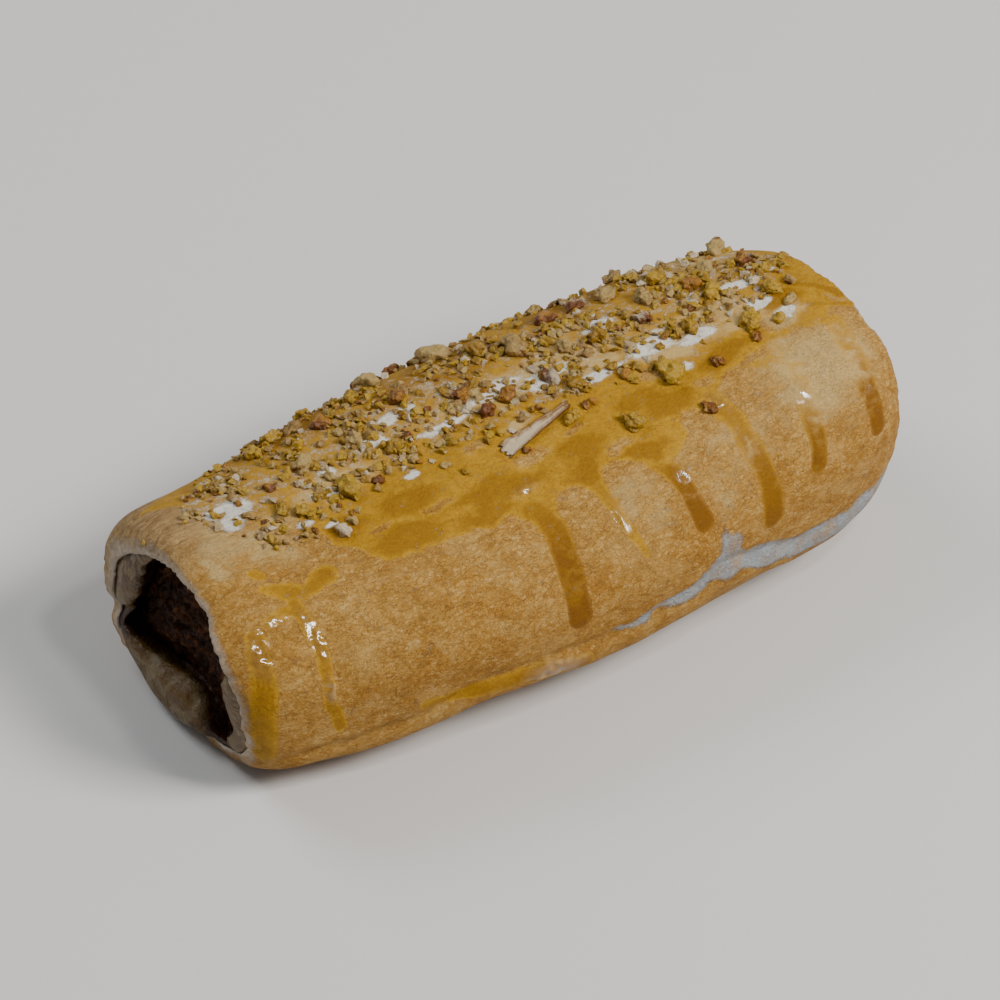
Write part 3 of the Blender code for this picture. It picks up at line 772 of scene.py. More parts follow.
def baked_dough():
    """Crust, then cream and dry zones, the rims, syrup and flour."""
    f = Finish("baked dough")
    slow = f.noise(15 * MM, 3)
    blotch = f.noise(4.5 * MM, 5, 0.62, 0.7)
    mottle = f.noise(1.9 * MM, 3, 0.6, 0.8, (0.7, 1, 1))
    felt = f.noise(0.55 * MM, 4, 0.7, 1.2, (0.7, 1, 1))
    ribs = f.noise(0.9 * MM, 3, 0.6, 0.8, (0.14, 1, 1))
    edge = f.noise(1.3 * MM, 4, 0.6, 0.6)
    syrup = (f.painted("syrup") + (edge - 0.5) * 0.30).ramp(0.10, 0.36)
    thick = (f.painted("syrup") + (blotch - 0.5) * 0.7 + (edge - 0.5) * 0.2).ramp(0.25, 0.85)
    flour = f.painted("flour") + (edge - 0.5) * 1.4 + (felt - 0.5) * 1.2 + (blotch - 0.5) * 0.8
    flour = flour.ramp(0.22, 0.98)
    cream = f.painted("cream") + (blotch - 0.5) * 1.6 + (mottle - 0.5) * 1.0 + (felt - 0.5) * 0.6
    cream = cream.ramp(0.2, 1.05)
    rim = (f.painted("rim") + (blotch - 0.5) * 0.7 + (mottle - 0.5) * 0.4).ramp(0.35, 0.9)
    # This browning mask also carries painted shade low on the front and near the pan.
    bake_and_shade = f.painted("bake_and_shade") + (slow - 0.5) * 1.1 + (blotch - 0.5) * 1.1
    crust = f.mix(bake_and_shade.ramp(0.05, 0.95), PALE_DOUGH, GOLDEN_DOUGH)
    crust = f.mix(bake_and_shade.ramp(0.80, 1.6), crust, BROWN_DOUGH)
    grain = felt * 0.66 + mottle * 0.34
    crust = f.mix(grain.ramp(0.47, 0.63) * 0.50, crust, BROWN_DOUGH)
    crust = f.mix(grain.ramp(0.50, 0.37) * 0.46, crust, PALE_GRAIN)
    crinkles = abs(f.noise(2.4 * MM, 5, 0.62, 1.2, (0.6, 1, 1)) - 0.5).ramp(0.05, 0.0)
    # Browning the crinkles' grooves is painted shade in the grooves.
    crust = f.mix(crinkles * blotch * 0.35, crust, BROWN_DOUGH)
    crust = f.mix(f.noise(7 * MM, 3, 0.5, 0.8).ramp(0.50, 0.70) * 0.25, crust, PALE_ZONE)
    crust = f.mix(cream * 0.75, crust, CREAM_DOUGH)
    # The darker grooves and the darker zone over the near mouth are painted shade.
    ribs_and_shade = f.mix(ribs.ramp(0.35, 0.65), DRY_GROOVE_SHADE, DRY_RIB_SHADED)
    crust = f.mix(f.painted("dry_and_shade") * 0.7, crust, ribs_and_shade)
    crust = f.mix(rim * 0.8, crust, RIM_DOUGH)
    wet = f.mix(thick, AMBER, DEEP_AMBER)
    wet = f.mix((f.painted("ripe") + (blotch - 0.5) * 0.4).ramp(0.0, 1.0), wet, RUN_AMBER)
    wet = f.mix((blotch * 0.6 + mottle * 0.4).ramp(0.48, 0.64) * 0.22, wet, THIN_AMBER)
    wet = f.mix(grain.ramp(0.46, 0.62) * 0.55, wet, AMBER_GRAIN)
    coated = f.mix(syrup * (0.80 + 0.18 * thick) * (1 - cream * 0.85), crust, wet)
    seam = f.painted("seam")
    # Along the seam the flour is thinned in blotches, and where it lies it is painted blue-grey as shade
    # under the lip.
    dusting = flour * (0.92 - seam * (blotch * 2.4 - 0.85).ramp(0.0, 1.0) * 0.55)
    colour = f.mix(dusting, coated, f.mix(seam, FLOUR_WHITE, FLOUR_BLUE_SHADE))
    normal = f.dent((felt + flour * edge) * (1 - syrup * 0.45), 0.45 * MM)
    normal = f.dent(f.noise(3.2 * MM, 3, 0.55, 0.8) - crinkles * (1 - syrup) * 0.14, 0.30 * MM, normal)
    normal = f.dent(ribs * f.painted("dry_and_shade"), 0.25 * MM, normal)
    rough = 0.78 + (felt - 0.5) * 0.3
    return f.set(Base_Color=colour, Normal=normal, Specular_IOR_Level=0.20,
                 Coat_Weight=f.painted("glint") * syrup, Coat_Roughness=0.14, Coat_IOR=1.8,
                 Roughness=rough * (1 - syrup) + syrup * 0.7 + flour * 0.4)


baked = baked_dough()


# %% [markdown]
# ## The outer turn of dough
# This is the skin that everyone sees, so it gets the finest mesh: a ring about every half
# millimetre along the roll. The bore behind it needs only a few rings. The torn edge is frayed by
# quick noise that dies away within a few millimetres of it.

# %% The outer turn's rings
RINGS_ALONG, STEPS_ROUND = 290, 296
FRAY_REACH = 2.5 * MM


def even_angles(steps):
    """Degrees round the section, evenly spaced."""
    return [360 * i / steps for i in range(steps)]


def dough_rings():
    """Rings of the outer turn as (mm along, share of the wall's depth), None on the skin."""
    half = LENGTH / 2
    evenly = [2 * i / (RINGS_ALONG - 1) - 1 for i in range(RINGS_ALONG)]
    stations = [(half - 0.5 * MM) * (1.12 * u - 0.12 * u ** 5) for u in evenly]
    rounding = ((0.3, 0.08), (0.1, 0.25), (0.0, 0.5), (0.05, 0.75), (0.25, 0.93))
    bore = [-half + d * MM for d in (0.6, 1.2, 2, 3.2, 5, 8, 12, 20, 33, 50)]
    bore = bore + [0.0] + [-x for x in reversed(bore)]
    rings = [(x, None) for x in stations]
    rings += [(half - inset * MM, share) for inset, share in rounding]
    rings += [(x, 1.0) for x in reversed(bore)]
    rings += [(-half + inset * MM, share) for inset, share in reversed(rounding)]
    return rings


def frayed(x, angle):
    """How far the torn edge is frayed in or out along the roll."""
    near = max(0.0, 1 - (LENGTH / 2 - abs(x)) / FRAY_REACH) ** 2
    spot = round_spot(math.copysign(3.0, x), angle, 22)
    return near * (0.45 * noise.noise(spot / 2.4) + 0.35 * noise.noise(spot / 1.1)) * MM


def dough_point(x, angle, share):
    """A point of the outer turn: on its skin, or this share of the way into its wall."""
    fray = Vector((frayed(x, angle), 0, 0))
    if share is None:
        return on_skin(x, angle) + fray
    return inside(x, angle, share * wall(x if share == 1.0 else LENGTH / 2, angle)) + fray


print(len(dough_rings()), "rings of", STEPS_ROUND, "points")


# %% [markdown]
# ## The film on the skin
# The strokes' edges should stray as a liquid's do, so the place that each point reads the strokes
# at is pushed about by vector noise. That noise has a seed of its own, which has to be set. The
# film then lifts the skin along its own outward direction. Where it is wrinkled it is lifted by
# ridges as well, because a coat's highlights follow the mesh and not a bump.

# %% The outer turn's mesh
STRAY_SEED = 2
FILM_HEIGHT = 0.14 * MM
WRINKLE_SHARE = 2.8  # how much higher the wrinkles are than the film
WRINKLE_SIZE = 2.0 * MM


def raise_film(points, film, skin_rings):
    """Lifts the skin's points straight out by the film's height."""
    along_roll = np.gradient(points[:skin_rings], axis=0)
    round_it = np.roll(points[:skin_rings], -1, 1) - np.roll(points[:skin_rings], 1, 1)
    out = np.cross(round_it, along_roll)
    out /= np.linalg.norm(out, axis=-1, keepdims=True) + 1e-12
    centre = points[:skin_rings].mean(1, keepdims=True)
    out *= np.sign((out * (points[:skin_rings] - centre)).sum(-1, keepdims=True))
    points[:skin_rings] += out * (film[:skin_rings, :, None] * FILM_HEIGHT)
    points[..., 2] = np.maximum(points[..., 2], 0)


def wander_at(layout, angles):
    """How far the strokes' edges stray at each point, in mm along and round."""
    noise.seed_set(STRAY_SEED)  # without it noise_vector differs from one run to the next
    strays = np.zeros((2, len(layout), len(angles)))
    for i, (x, share) in enumerate(layout):
        for j, angle in enumerate(angles if share is None else ()):
            spot = round_spot(x, angle, 27 * MM)
            stray = noise.noise_vector(spot / (6 * MM)) * 1.9 + noise.noise_vector(spot / (2.2 * MM)) * 0.9
            strays[:, i, j] = stray.x, stray.y
    return strays


def wrinkle_at(layout, angles, glint):
    """The wrinkles that the film has dried in: ridges where the noise crosses 0."""
    height = np.zeros((len(layout), len(angles)))
    for i, j in np.argwhere(glint > 0.01):
        spot = round_spot(layout[i][0], angles[j], 27 * MM)
        height[i, j] = glint[i, j] * (1 - 3.2 * abs(noise.noise(spot / WRINKLE_SIZE)))
    return height


def rim_at(x, layout, angles):
    """1 on the torn rims and in the bore, where the dough is pale, and 0 further out."""
    to_rim = LENGTH / 2 / MM - np.abs(x)
    share = np.array([[s or 0.0] * len(angles) for _, s in layout])
    return np.maximum(np.clip(0.75 - to_rim / 2.2, 0, 1), np.clip(share * 1.5, 0, 1))


def make_dough():
    """The outer turn with its film and its painted numbers, worked out for all rings at once."""
    layout, angles = dough_rings(), even_angles(STEPS_ROUND)
    points = np.array([[dough_point(x, a, share)[:] for a in angles] for x, share in layout])
    x = np.array([[x / MM] * len(angles) for x, _ in layout])
    around = np.array([angles] * len(layout))
    skin = np.array([[float(share is None)] * len(angles) for _, share in layout])
    wander = wander_at(layout, angles)
    film = syrup_at(x, around, wander) * skin
    glint = glint_at(x, around) * (film > 0.05)
    raise_film(points, film + WRINKLE_SHARE * wrinkle_at(layout, angles, glint), RINGS_ALONG)
    nuts = nuts_at(x, around)
    painted = {
        "syrup": film, "glint": glint, "ripe": ripe_at(x, around, wander),
        "flour": dusted(flour_at(x, around, wander), nuts) * skin, "seam": seam_shade_at(around),
        "cream": np.maximum(cream_at(x, around, wander), 0.45 * nuts),
        "nuts": nuts * skin * np.clip(0.5 + 0.75 * wander[1], 0.06, 1.4),
        "rim": rim_at(x, layout, angles), "dry_and_shade": dry_and_shade_at(x, around), "bake_and_shade": bake_and_shade_at(around),
    }
    return loft("dough", points, True, painted)


dough = make_dough()
finish_piece(dough, baked, "dough_shell")


# %% [markdown]
# ## The inner turn of dough
# Inside the mouth the sheet makes a second turn: a C from a flap on the front wall, along the
# base and up the back. It has steamed, not baked, so it is moist and puffed, and the filling has
# stained it. Its colours are painted well below the moist dough's own, as painted shade inside the
# mouth. It sags out a little over the base, and near the rims it closes up to the outer turn.
# Its thickness is one table of angles and millimetres, which is easier to change than a sculpt.

# %% Moist dough
# These colours are darker than the moist dough itself: painted shade inside the mouth.
MOIST_PALE_SHADED, MOIST_TAN_SHADED, MOIST_BROWN_SHADED = (0.18, 0.128, 0.060), (0.115, 0.060, 0.010), (0.10, 0.042, 0.008)
FILLING_STAIN = (0.040, 0.013, 0.003)


def moist_shaded_dough():
    """Pale and tan clouds with browner specks, all painted darker as shade inside the mouth, and stained
    where it is painted so.
    """
    f = Finish("moist dough")
    slow = f.noise(5 * MM, 4, 0.6, 0.8)
    fine = f.noise(0.8 * MM, 3, 0.6, 0.8)
    mottle = f.noise(2.2 * MM, 4, 0.6, 1.0)
    pits = f.cells(1.3 * MM)
    stain = (f.painted("stain") + (slow - 0.5) * 1.0 + (mottle - 0.5) * 0.9).ramp(0.40, 1.0)
    body = f.mix(slow.ramp(0.38, 0.57), MOIST_PALE_SHADED, MOIST_TAN_SHADED)
    body = f.mix(mottle.ramp(0.50, 0.64) * 0.6, body, MOIST_BROWN_SHADED)
    body = f.mix(stain, body, FILLING_STAIN)
    normal = f.dent(mottle, 0.8 * MM)
    normal = f.dent(fine * 0.6 + pits * 0.4, 0.22 * MM, normal)
    return f.set(Base_Color=body, Normal=normal, Roughness=0.22 + fine * 0.30, Specular_IOR_Level=0.4)


moist = moist_shaded_dough()


# %% The inner turn
GAP = 0.5 * MM
CLOSED_WITHIN = 7 * MM  # of the rims, where the gap to the outer turn closes
LINING = ((-200, 2.4), (-192, 4.0), (-180, 4.8), (-166, 4.6), (-152, 4.2), (-142, 3.8), (-134, 3.0),
          (-126, 0.9), (-118, 0.9), (-110, 5.6), (-100, 6.8), (-86, 7.0), (-72, 6.4), (-58, 5.4),
          (-48, 4.6), (-40, 3.4), (-33, 1.6), (-24, 3.6), (-12, 5.6), (2, 6.6), (16, 6.2), (28, 4.2),
          (38, 2.2), (50, 1.0))  # degrees and mm, the thickness from the front flap on
LINING_STEPS = 170
LINING_BULGE = (-82, 34, 2.5 * MM)  # angle and width in degrees, then how far
LINING_SAG = (-84, 27, 3.2 * MM)


def lining_thickness(x, angle):
    """Thickness of the inner turn of dough at an angle between LINING's first and last."""
    puff = 1 + 0.12 * noise.noise(Vector((x / (12 * MM), angle / 35, 5.0)))
    return between(LINING, angle) * puff * MM


def lining_ring(x, angles, swell, closing, sag):
    """One ring of the C, its outer side one way and its inner side back. At the ends it swells out
    past the rim, closes up and sags, by these shares."""
    outer, inner = [], []
    open_gap = GAP * (1.4 * min((LENGTH / 2 - abs(x)) / CLOSED_WITHIN, 1) - 0.4)
    for a in angles:
        skin, thick = wall(x, a) + open_gap, lining_thickness(x, a) + GAP - open_gap
        step = swell * (0.25 * thick + swelling(a, LINING_BULGE))
        within = min(step, LENGTH / 2 - abs(x))
        at = x + math.copysign(within, x)
        past = Vector((math.copysign(step - within, x), 0, 0))
        hang = sag * swelling(a, LINING_SAG) * min(thick / (5 * MM), 1)
        lump = 0.2 * MM * noise.noise(Vector((x, a * 0.4 * MM, 0)) / (2.6 * MM))
        outer.append(inside(at, a, skin + closing * thick - hang) + past)
        inner.append(inside(at, a, skin + (1 - closing) * thick - abs(lump)) + past)
    return outer + inner[::-1]


# Shares of swelling, closing and sagging, from the tip of an end inwards.
LINING_ENDS = ((1.0, 0.43, 0.8), (0.995, 0.36, 0.9), (0.96, 0.29, 0.96), (0.9, 0.235, 1.0),
               (0.8, 0.19, 1.0), (0.7, 0.16, 1.0), (0.62, 0.14, 1.0), (0.53, 0.11, 0.8),
               (0.44, 0.085, 0.4), (0.35, 0.06, 0.0), (0.2, 0.025, 0.0), (0.08, 0.005, 0.0))


def lining_stain(to_rim, angle, depth):
    """How far the filling's stain has gone over the inner side, and how much darker the turn is painted at
    the notches where it is thin.
    """
    stain = 0.24 + 0.5 * np.clip((to_rim + 0.5) / 4, 0, 1) * depth + 0.3 * np.clip(to_rim / 3, 0, 1)
    stain += 1.0 * np.exp(-((angle + 122) / 8) ** 2) + 1.0 * np.exp(-((angle + 33) / 9) ** 2)
    stain += 0.4 * np.exp(-((angle + 104) / 8) ** 2) * (1 - depth)
    return stain + 0.50 * np.exp(-((angle - 26) / 18) ** 2)


def make_lining():
    """The C from mouth to mouth, with its swollen ends."""
    first, last = LINING[0][0], LINING[-1][0]
    angles = [first + (last - first) * i / LINING_STEPS for i in range(LINING_STEPS + 1)]
    insets = [1.0 + 0.45 * i for i in range(24)] + [12.5, 14, 16, 19, 23, 28, 33, 38, 44, 50, 56, 61]
    near = [-LENGTH / 2 + d * MM for d in insets]
    stations = near + [0.0] + [-x for x in reversed(near)]
    rings = [lining_ring(stations[0], angles, *shares) for shares in LINING_ENDS]
    rings += [lining_ring(x, angles, 0, 0, 0) for x in stations]
    rings += [lining_ring(stations[-1], angles, *shares) for shares in reversed(LINING_ENDS)]
    ends = len(LINING_ENDS)
    to_rim = [-1.5 * shares[0] for shares in LINING_ENDS] + [LENGTH / 2 / MM - abs(x) / MM for x in stations]
    to_rim = np.array([[d] * (2 * len(angles)) for d in to_rim + to_rim[:ends][::-1]])
    both = np.array([angles + angles[::-1]] * len(to_rim))
    depth = np.array([[0.0] * len(angles) + [1.0] * len(angles)] * len(to_rim))
    rings = [[p[:] for p in ring] for ring in rings]
    return loft("inner_turn", rings, False, {"stain": lining_stain(to_rim, both, depth)})


finish_piece(make_lining(), moist, "inner_dough")


# %% [markdown]
# ## The filling
# The filling is a dark, moist paste with coarse crumbs. It shows only at the two mouths, so its
# sides are plain, and its end faces are fine rings pushed in and out by several sizes of noise.
# A Displace modifier could do the same, but noise read in code keeps the paste off the dough.

# %% Dark filling
# The near-black in the clefts is painted shade.
PASTE_CLEFT_SHADE, PASTE_RIDGE, PASTE_LIT = (0.003, 0.001, 0.0), (0.034, 0.008, 0.0015), (0.13, 0.050, 0.014)


def dark_filling():
    """Nearly black in the clefts, which is painted shade, and brown on the ridges."""
    f = Finish("dark filling")
    grain = f.noise(1.0 * MM, 4, 0.65, 0.5)
    lumps = f.cells(1.6 * MM)
    ridge = f.noise(4 * MM, 3, 0.6)
    height = grain * 0.5 + ridge * 0.5
    colour = f.mix(height.ramp(0.40, 0.58), PASTE_CLEFT_SHADE, PASTE_RIDGE)
    colour = f.mix((ridge * 0.6 + grain * 0.5).ramp(0.58, 0.70) * 0.7, colour, PASTE_LIT)
    normal = f.dent(grain * 0.7 + lumps * 0.5, 0.7 * MM)
    return f.set(Base_Color=colour, Normal=normal, Roughness=0.38 + grain * 0.2,
                 Specular_IOR_Level=0.16, Specular_Tint=(0.95, 0.55, 0.35))


paste = dark_filling()


# %% The filling
FILLING_SETBACK = 3.8 * MM
FILLING_LEAN = 0.06
FILLING_ROUGHNESS = 1.2 * MM
FACE_RINGS, FACE_STEPS = 60, 220


def filling_depth(x, angle):
    """Depth of the filling's side, inside the inner turn where there is one."""
    first, last, past_ends = LINING[0][0], LINING[-1][0], 16
    turned = (angle - first + past_ends) % 360 + first - past_ends
    if turned > last + past_ends:
        return wall(x, angle) + GAP
    beside = [min(max(turned + step, first), last) for step in (-3, 0, 3)]
    return wall(x, angle) + 2 * GAP + max(lining_thickness(x, a) for a in beside)


def paste_height(spot):
    """Height of the filling's rough face at a point."""
    slow = noise.noise(spot / (5 * MM)) + 0.4 * noise.noise(spot / (2.5 * MM))
    clefts = -0.9 * max(0.0, 0.24 - abs(noise.noise(spot / (3.2 * MM))))
    clefts = clefts - 0.25 * abs(noise.noise(spot / (1.4 * MM)))
    return 0.75 + slow + 2.2 * clefts + 0.30 * noise.noise(spot / (0.8 * MM))


def filling_face(x, outwards, angles):
    """Rings of one end face from its rim to its middle."""
    rim = [inside(x, a, filling_depth(x, a)) for a in angles]
    floor = min(p.z for p in rim)
    for p in rim:
        p.x -= outwards * FILLING_LEAN * (p.z - floor)
    middle = sum(rim, Vector()) / len(rim)
    rings = [rim]
    for share in [1 - (i / FACE_RINGS) for i in range(1, FACE_RINGS)]:
        ring = []
        for p in rim:
            spot = middle.lerp(p, share)
            spot.x += outwards * FILLING_ROUGHNESS * paste_height(spot) * min((1 - share) * 8, 1)
            ring.append(spot)
        rings.append(ring)
    return rings


def make_filling():
    """The core from mouth to mouth, with its two rough faces."""
    angles = even_angles(FACE_STEPS)
    near = [-LENGTH / 2 + d * MM for d in (6.6, 11, 20, 38)]
    stations = near + [0.0] + [-x for x in reversed(near)]
    body = [[inside(x, a, filling_depth(x, a)) for a in angles] for x in stations]
    edge = LENGTH / 2 - FILLING_SETBACK
    rings = filling_face(-edge, -1, angles)[::-1] + body + filling_face(edge, 1, angles)
    return loft("filling_paste", [[p[:] for p in ring] for ring in rings], False)


finish_piece(make_filling(), paste, "filling")


# %% [markdown]
# ## Chopped walnuts
# Walnut flesh breaks into angular bits, pale cream inside, with thin brown skin on one side. The
# bits that can be told apart are listed by place and size, and smaller ones are scattered over
# the same band with a fixed seed. Each starts as a ball of twenty faces with its corners moved.
# Its faces are divided and smoothed, and noise then breaks them up. Boulders made by an add-on
# would be rounder and would have no brown side.

# %% The bits' places
LARGE_NUTS = (
    (-12, 19, 7.0, 4.6), (2, 22, 7.2, 5.6), (7, 32, 4.4, 3.8), (13, 39, 6.4, 4.6), (14, 66, 4.8, 3.6),
    (17, 81, 5.0, 3.0), (5, 67, 4.2, 3.6), (0, 71, 4.0, 3.0), (12, 101, 3.6, 2.8), (-33, 24, 4.6, 3.4),
    (-38, 29, 4.2, 3.2), (-29, 26, 4.2, 3.0), (-25, 33, 4.6, 3.6), (-23, 50, 3.8, 3.4), (-30, 82, 7.4, 4.4),
    (-36, 108, 4.0, 3.0), (-43, 78, 4.0, 3.0), (-40, 84, 3.6, 2.8), (17, 96, 2.4, 2.0), (21, 119, 5.6, 3.8),
    (32, 102, 6.6, 4.4), (40, 107, 3.2, 2.6), (34, 129, 3.4, 2.6), (49, 93, 5.4, 3.8), (34, 33, 5.0, 4.0),
    (43, 38, 4.6, 4.0), (51, 44, 4.2, 3.4), (48, 61, 4.2, 3.4), (56, 78, 4.0, 3.0), (57, 30, 5.4, 4.0),
    (22, 30, 5.0, 3.8), (28, 31, 4.6, 3.6), (38, 46, 4.8, 3.6), (46, 52, 4.2, 3.2), (57, 50, 3.8, 3.0),
    (35, 58, 4.0, 3.0), (40, 78, 3.6, 3.0), (-11, 39, 4.6, 3.6), (-2, 53, 4.0, 3.2), (-34, 52, 4.6, 3.2),
    (-17, 27, 4.4, 3.2), (26, 56, 4.4, 3.2), (20, 52, 4.0, 3.0), (-5, 12, 4.2, 3.2), (40, 18, 4.6, 3.4),
    (24, 14, 4.2, 3.2), (-24, 12, 4.0, 3.0), (-18, 66, 4.2, 3.0))  # mm along, degrees, mm long, mm wide
SMALL_NUTS = 56
NUT_SEED = 11
NUT_ALONG, NUT_SIZE = (-50, 60), (1.6, 3.0)  # mm, from and to
NUT_ROUND = (62, 26)  # degrees, the band's middle and its spread


def nut_layout():
    """Every chopped bit as (mm along, degrees round, mm long, mm wide), largest first."""
    chance = random.Random(NUT_SEED)
    bits = list(LARGE_NUTS)
    for i in range(SMALL_NUTS):
        x = NUT_ALONG[0] + (NUT_ALONG[1] - NUT_ALONG[0]) * (i + chance.random()) / SMALL_NUTS
        size = chance.uniform(*NUT_SIZE)
        bits.append((x, NUT_ROUND[0] + NUT_ROUND[1] * chance.gauss(0, 1), size, size * 0.8))
    return bits


def resting_frame(x, angle, spin):
    """A frame on the skin: its Z straight out, its X turned by spin from the roll's length."""
    here = on_skin(x, angle)
    lengthwise = on_skin(x + MM, angle) - on_skin(x - MM, angle)
    outwards = lengthwise.cross(on_skin(x, angle - 3) - on_skin(x, angle + 3)).normalized()
    across = outwards.cross(lengthwise).normalized()
    turned = Matrix((across.cross(outwards), across, outwards)).transposed().to_4x4()
    return Matrix.Translation(here) @ turned @ Matrix.Rotation(spin, 4, "Z")


print(len(nut_layout()), "bits of walnut")


# %% The bits' shapes
BIG_BIT = 2.5  # mm wide; a bit wider than this lies higher and has more faces


def rough_bit(x, angle, long, wide, chance):
    """One chopped bit in place: an angular lump with worn corners and a crumbly surface."""
    mesh = bmesh.new()
    bmesh.ops.create_icosphere(mesh, subdivisions=1, radius=0.5)
    thick = wide * chance.uniform(0.7, 1.0)
    lift_by, cuts, rounds = (0.24, 7, 2) if wide > BIG_BIT else (0.15, 3, 1)
    where = resting_frame(x * MM, angle, chance.uniform(0, math.pi))
    for vert in mesh.verts:
        spot = vert.co * chance.uniform(0.85, 1.2)
        vert.co = where @ (Vector((spot.x * long, spot.y * wide, (spot.z + lift_by) * thick)) * MM)
    bmesh.ops.subdivide_edges(mesh, edges=mesh.edges, cuts=cuts, use_grid_fill=True)
    for _ in range(rounds):
        bmesh.ops.smooth_vert(mesh, verts=mesh.verts, factor=0.5,
                              use_axis_x=True, use_axis_y=True, use_axis_z=True)
    mesh.normal_update()
    crumble(mesh, wide)
    return mesh, where.to_3x3()


def crumble(mesh, wide):
    """Breaks a bit's surface into lumps, clefts and grains."""
    moves = []
    for vert in mesh.verts:
        lumps = 0.22 * wide * noise.noise(vert.co / (0.42 * wide * MM))
        elsewhere = vert.co / (0.5 * wide * MM) + Vector((7, 0, 0))
        clefts = -0.24 * max(0.0, 0.22 - abs(noise.noise(elsewhere))) * wide
        grains = 0.16 * noise.noise(vert.co / (0.5 * MM)) + 0.10 * noise.noise(vert.co / (0.25 * MM))
        moves.append(vert.normal * (lumps + clefts + grains) * MM)
    for vert, move in zip(mesh.verts, moves):
        vert.co += move


sample, _ = rough_bit(*LARGE_NUTS[0], random.Random(NUT_SEED))
print("a large bit has", len(sample.faces), "faces")
sample.free()


# %% [markdown]
# ## The walnuts' finish
# Three kinds can be told apart: dry pale flesh, flesh soaked yellow with syrup, and bits that lie
# with their brown skin up. They share one recipe and differ in a few numbers, so it is one
# function with a table. A little light passes through the flesh, as through wax.

# %% Walnut, in three kinds
BROWN_BITS = {(5, 67), (0, 71), (34, 129), (40, 107), (-25, 33), (17, 96), (28, 31)}
YELLOW_BITS = {(13, 39), (7, 32), (-33, 24), (17, 81), (-38, 29), (49, 93), (-36, 108), (-30, 82),
               (32, 102), (48, 61)}
# Each kind's name, its flesh, the flesh in its hollows, where the skin starts and ends, its roughness.
KINDS = (
    ("pale walnut", (0.35, 0.24, 0.080), (0.22, 0.125, 0.030), 0.78, 0.92, 0.55),
    ("soaked walnut", (0.37, 0.225, 0.014), (0.22, 0.115, 0.003), 0.84, 0.98, 0.36),
    ("browned walnut", (0.29, 0.130, 0.010), (0.12, 0.042, 0.003), 0.42, 0.66, 0.40),
)
DRY_FLESH = (0.60, 0.52, 0.38)
WALNUT_SKIN = (0.13, 0.040, 0.006)


def kind_of(x, angle, pick):
    """0 is pale flesh, 1 is flesh soaked yellow with syrup, 2 is a bit with its brown skin up."""
    if (round(x), round(angle)) in BROWN_BITS:
        return 2
    if (round(x), round(angle)) in YELLOW_BITS:
        return 1
    return 0 if pick < 0.42 else 1 if pick < 0.78 else 2


def walnut(name, flesh, hollow, skin_from, skin_to, dullness):
    """Walnut flesh with skin over the side that is painted so."""
    f = Finish(name)
    grain = f.noise(0.6 * MM, 4, 0.65, 0.6)
    slow = f.noise(2.6 * MM, 3)
    tone = f.painted("tone")
    peel = f.painted("peel") + (slow - 0.5) * 1.3 + (grain - 0.5) * 0.6
    deep = grain * 0.7 + slow * 0.3 + (tone - 0.5) * 0.25
    colour = f.mix(deep.ramp(0.40, 0.60), flesh, hollow)
    colour = f.mix(tone.ramp(0.82, 1.0) * 0.7, colour, DRY_FLESH)
    colour = f.mix(peel.ramp(skin_from, skin_to), colour, WALNUT_SKIN)
    pits = f.cells(0.8 * MM)
    normal = f.dent(grain * 0.6 + pits * 0.6, 0.5 * MM)
    return f.set(Base_Color=colour, Normal=normal, Specular_IOR_Level=0.4, Subsurface_Weight=0.35,
                 Subsurface_Radius=(1.0, 0.7, 0.25), Subsurface_Scale=0.9 * MM,
                 Roughness=dullness + (grain - 0.5) * 0.4)


finishes = [walnut(*kind) for kind in KINDS]


# %% [markdown]
# ## One mesh for each kind of bit
# The bits of one kind share a finish, so they are one mesh. Each point is painted with how much
# of it belongs to the brown skin: the side that faces a direction picked for that bit. A second
# number, the same all over a bit, makes some of them lighter and some darker.

# %% The walnuts on the roll
def make_nuts():
    """The bits of each kind as one object, in the order of KINDS."""
    chance, picks = random.Random(NUT_SEED + 1), random.Random(NUT_SEED + 2)
    groups = [[], [], []]
    for bit in nut_layout():
        mesh, turned = rough_bit(*bit, chance)
        kind = kind_of(bit[0], bit[1], picks.random())
        way = Vector((picks.uniform(-1, 1), picks.uniform(-1, 1), picks.uniform(-1, 0.4))).normalized()
        groups[kind].append((mesh, turned @ way, picks.random()))
    names = ("walnut_pale", "walnut_soaked", "walnut_browned")
    return [join_bits(name, group) for name, group in zip(names, groups)]


def join_bits(name, group):
    """Joins bits into one object, each with its brown side and its tone painted."""
    points, faces, peel, tone = [], [], [], []
    for mesh, side, shade in group:
        mesh.verts.index_update()
        start = len(points)
        middle = sum((v.co for v in mesh.verts), Vector()) / len(mesh.verts)
        reach = max((v.co - middle).length for v in mesh.verts)
        points += [v.co[:] for v in mesh.verts]
        peel += [0.5 + 0.5 * (v.co - middle).dot(side) / reach for v in mesh.verts]
        tone += [shade] * len(mesh.verts)
        faces += [[v.index + start for v in face.verts] for face in mesh.faces]
        mesh.free()
    return mesh_piece(name, points, faces, {"peel": peel, "tone": tone})


for nuts, nut_finish in zip(make_nuts(), finishes):
    finish_piece(nuts, nut_finish, None)


# %% [markdown]
# ## The sliver
# One long flat splinter lies on the top with its pale side up. It is a cube of many small faces,
# flattened to a wedge between two places on the skin, with its long edges curled up and broken.
# The noise that breaks it also paints it, so that its low edges come out brown.

# %% The sliver
SLIVER = ((-2, 103), (13, 91), 2.6 * MM, 1.6 * MM)  # from and to, then width and thickness
SLIVER_PALE, SLIVER_BROWN = (0.46, 0.36, 0.23), (0.17, 0.075, 0.014)


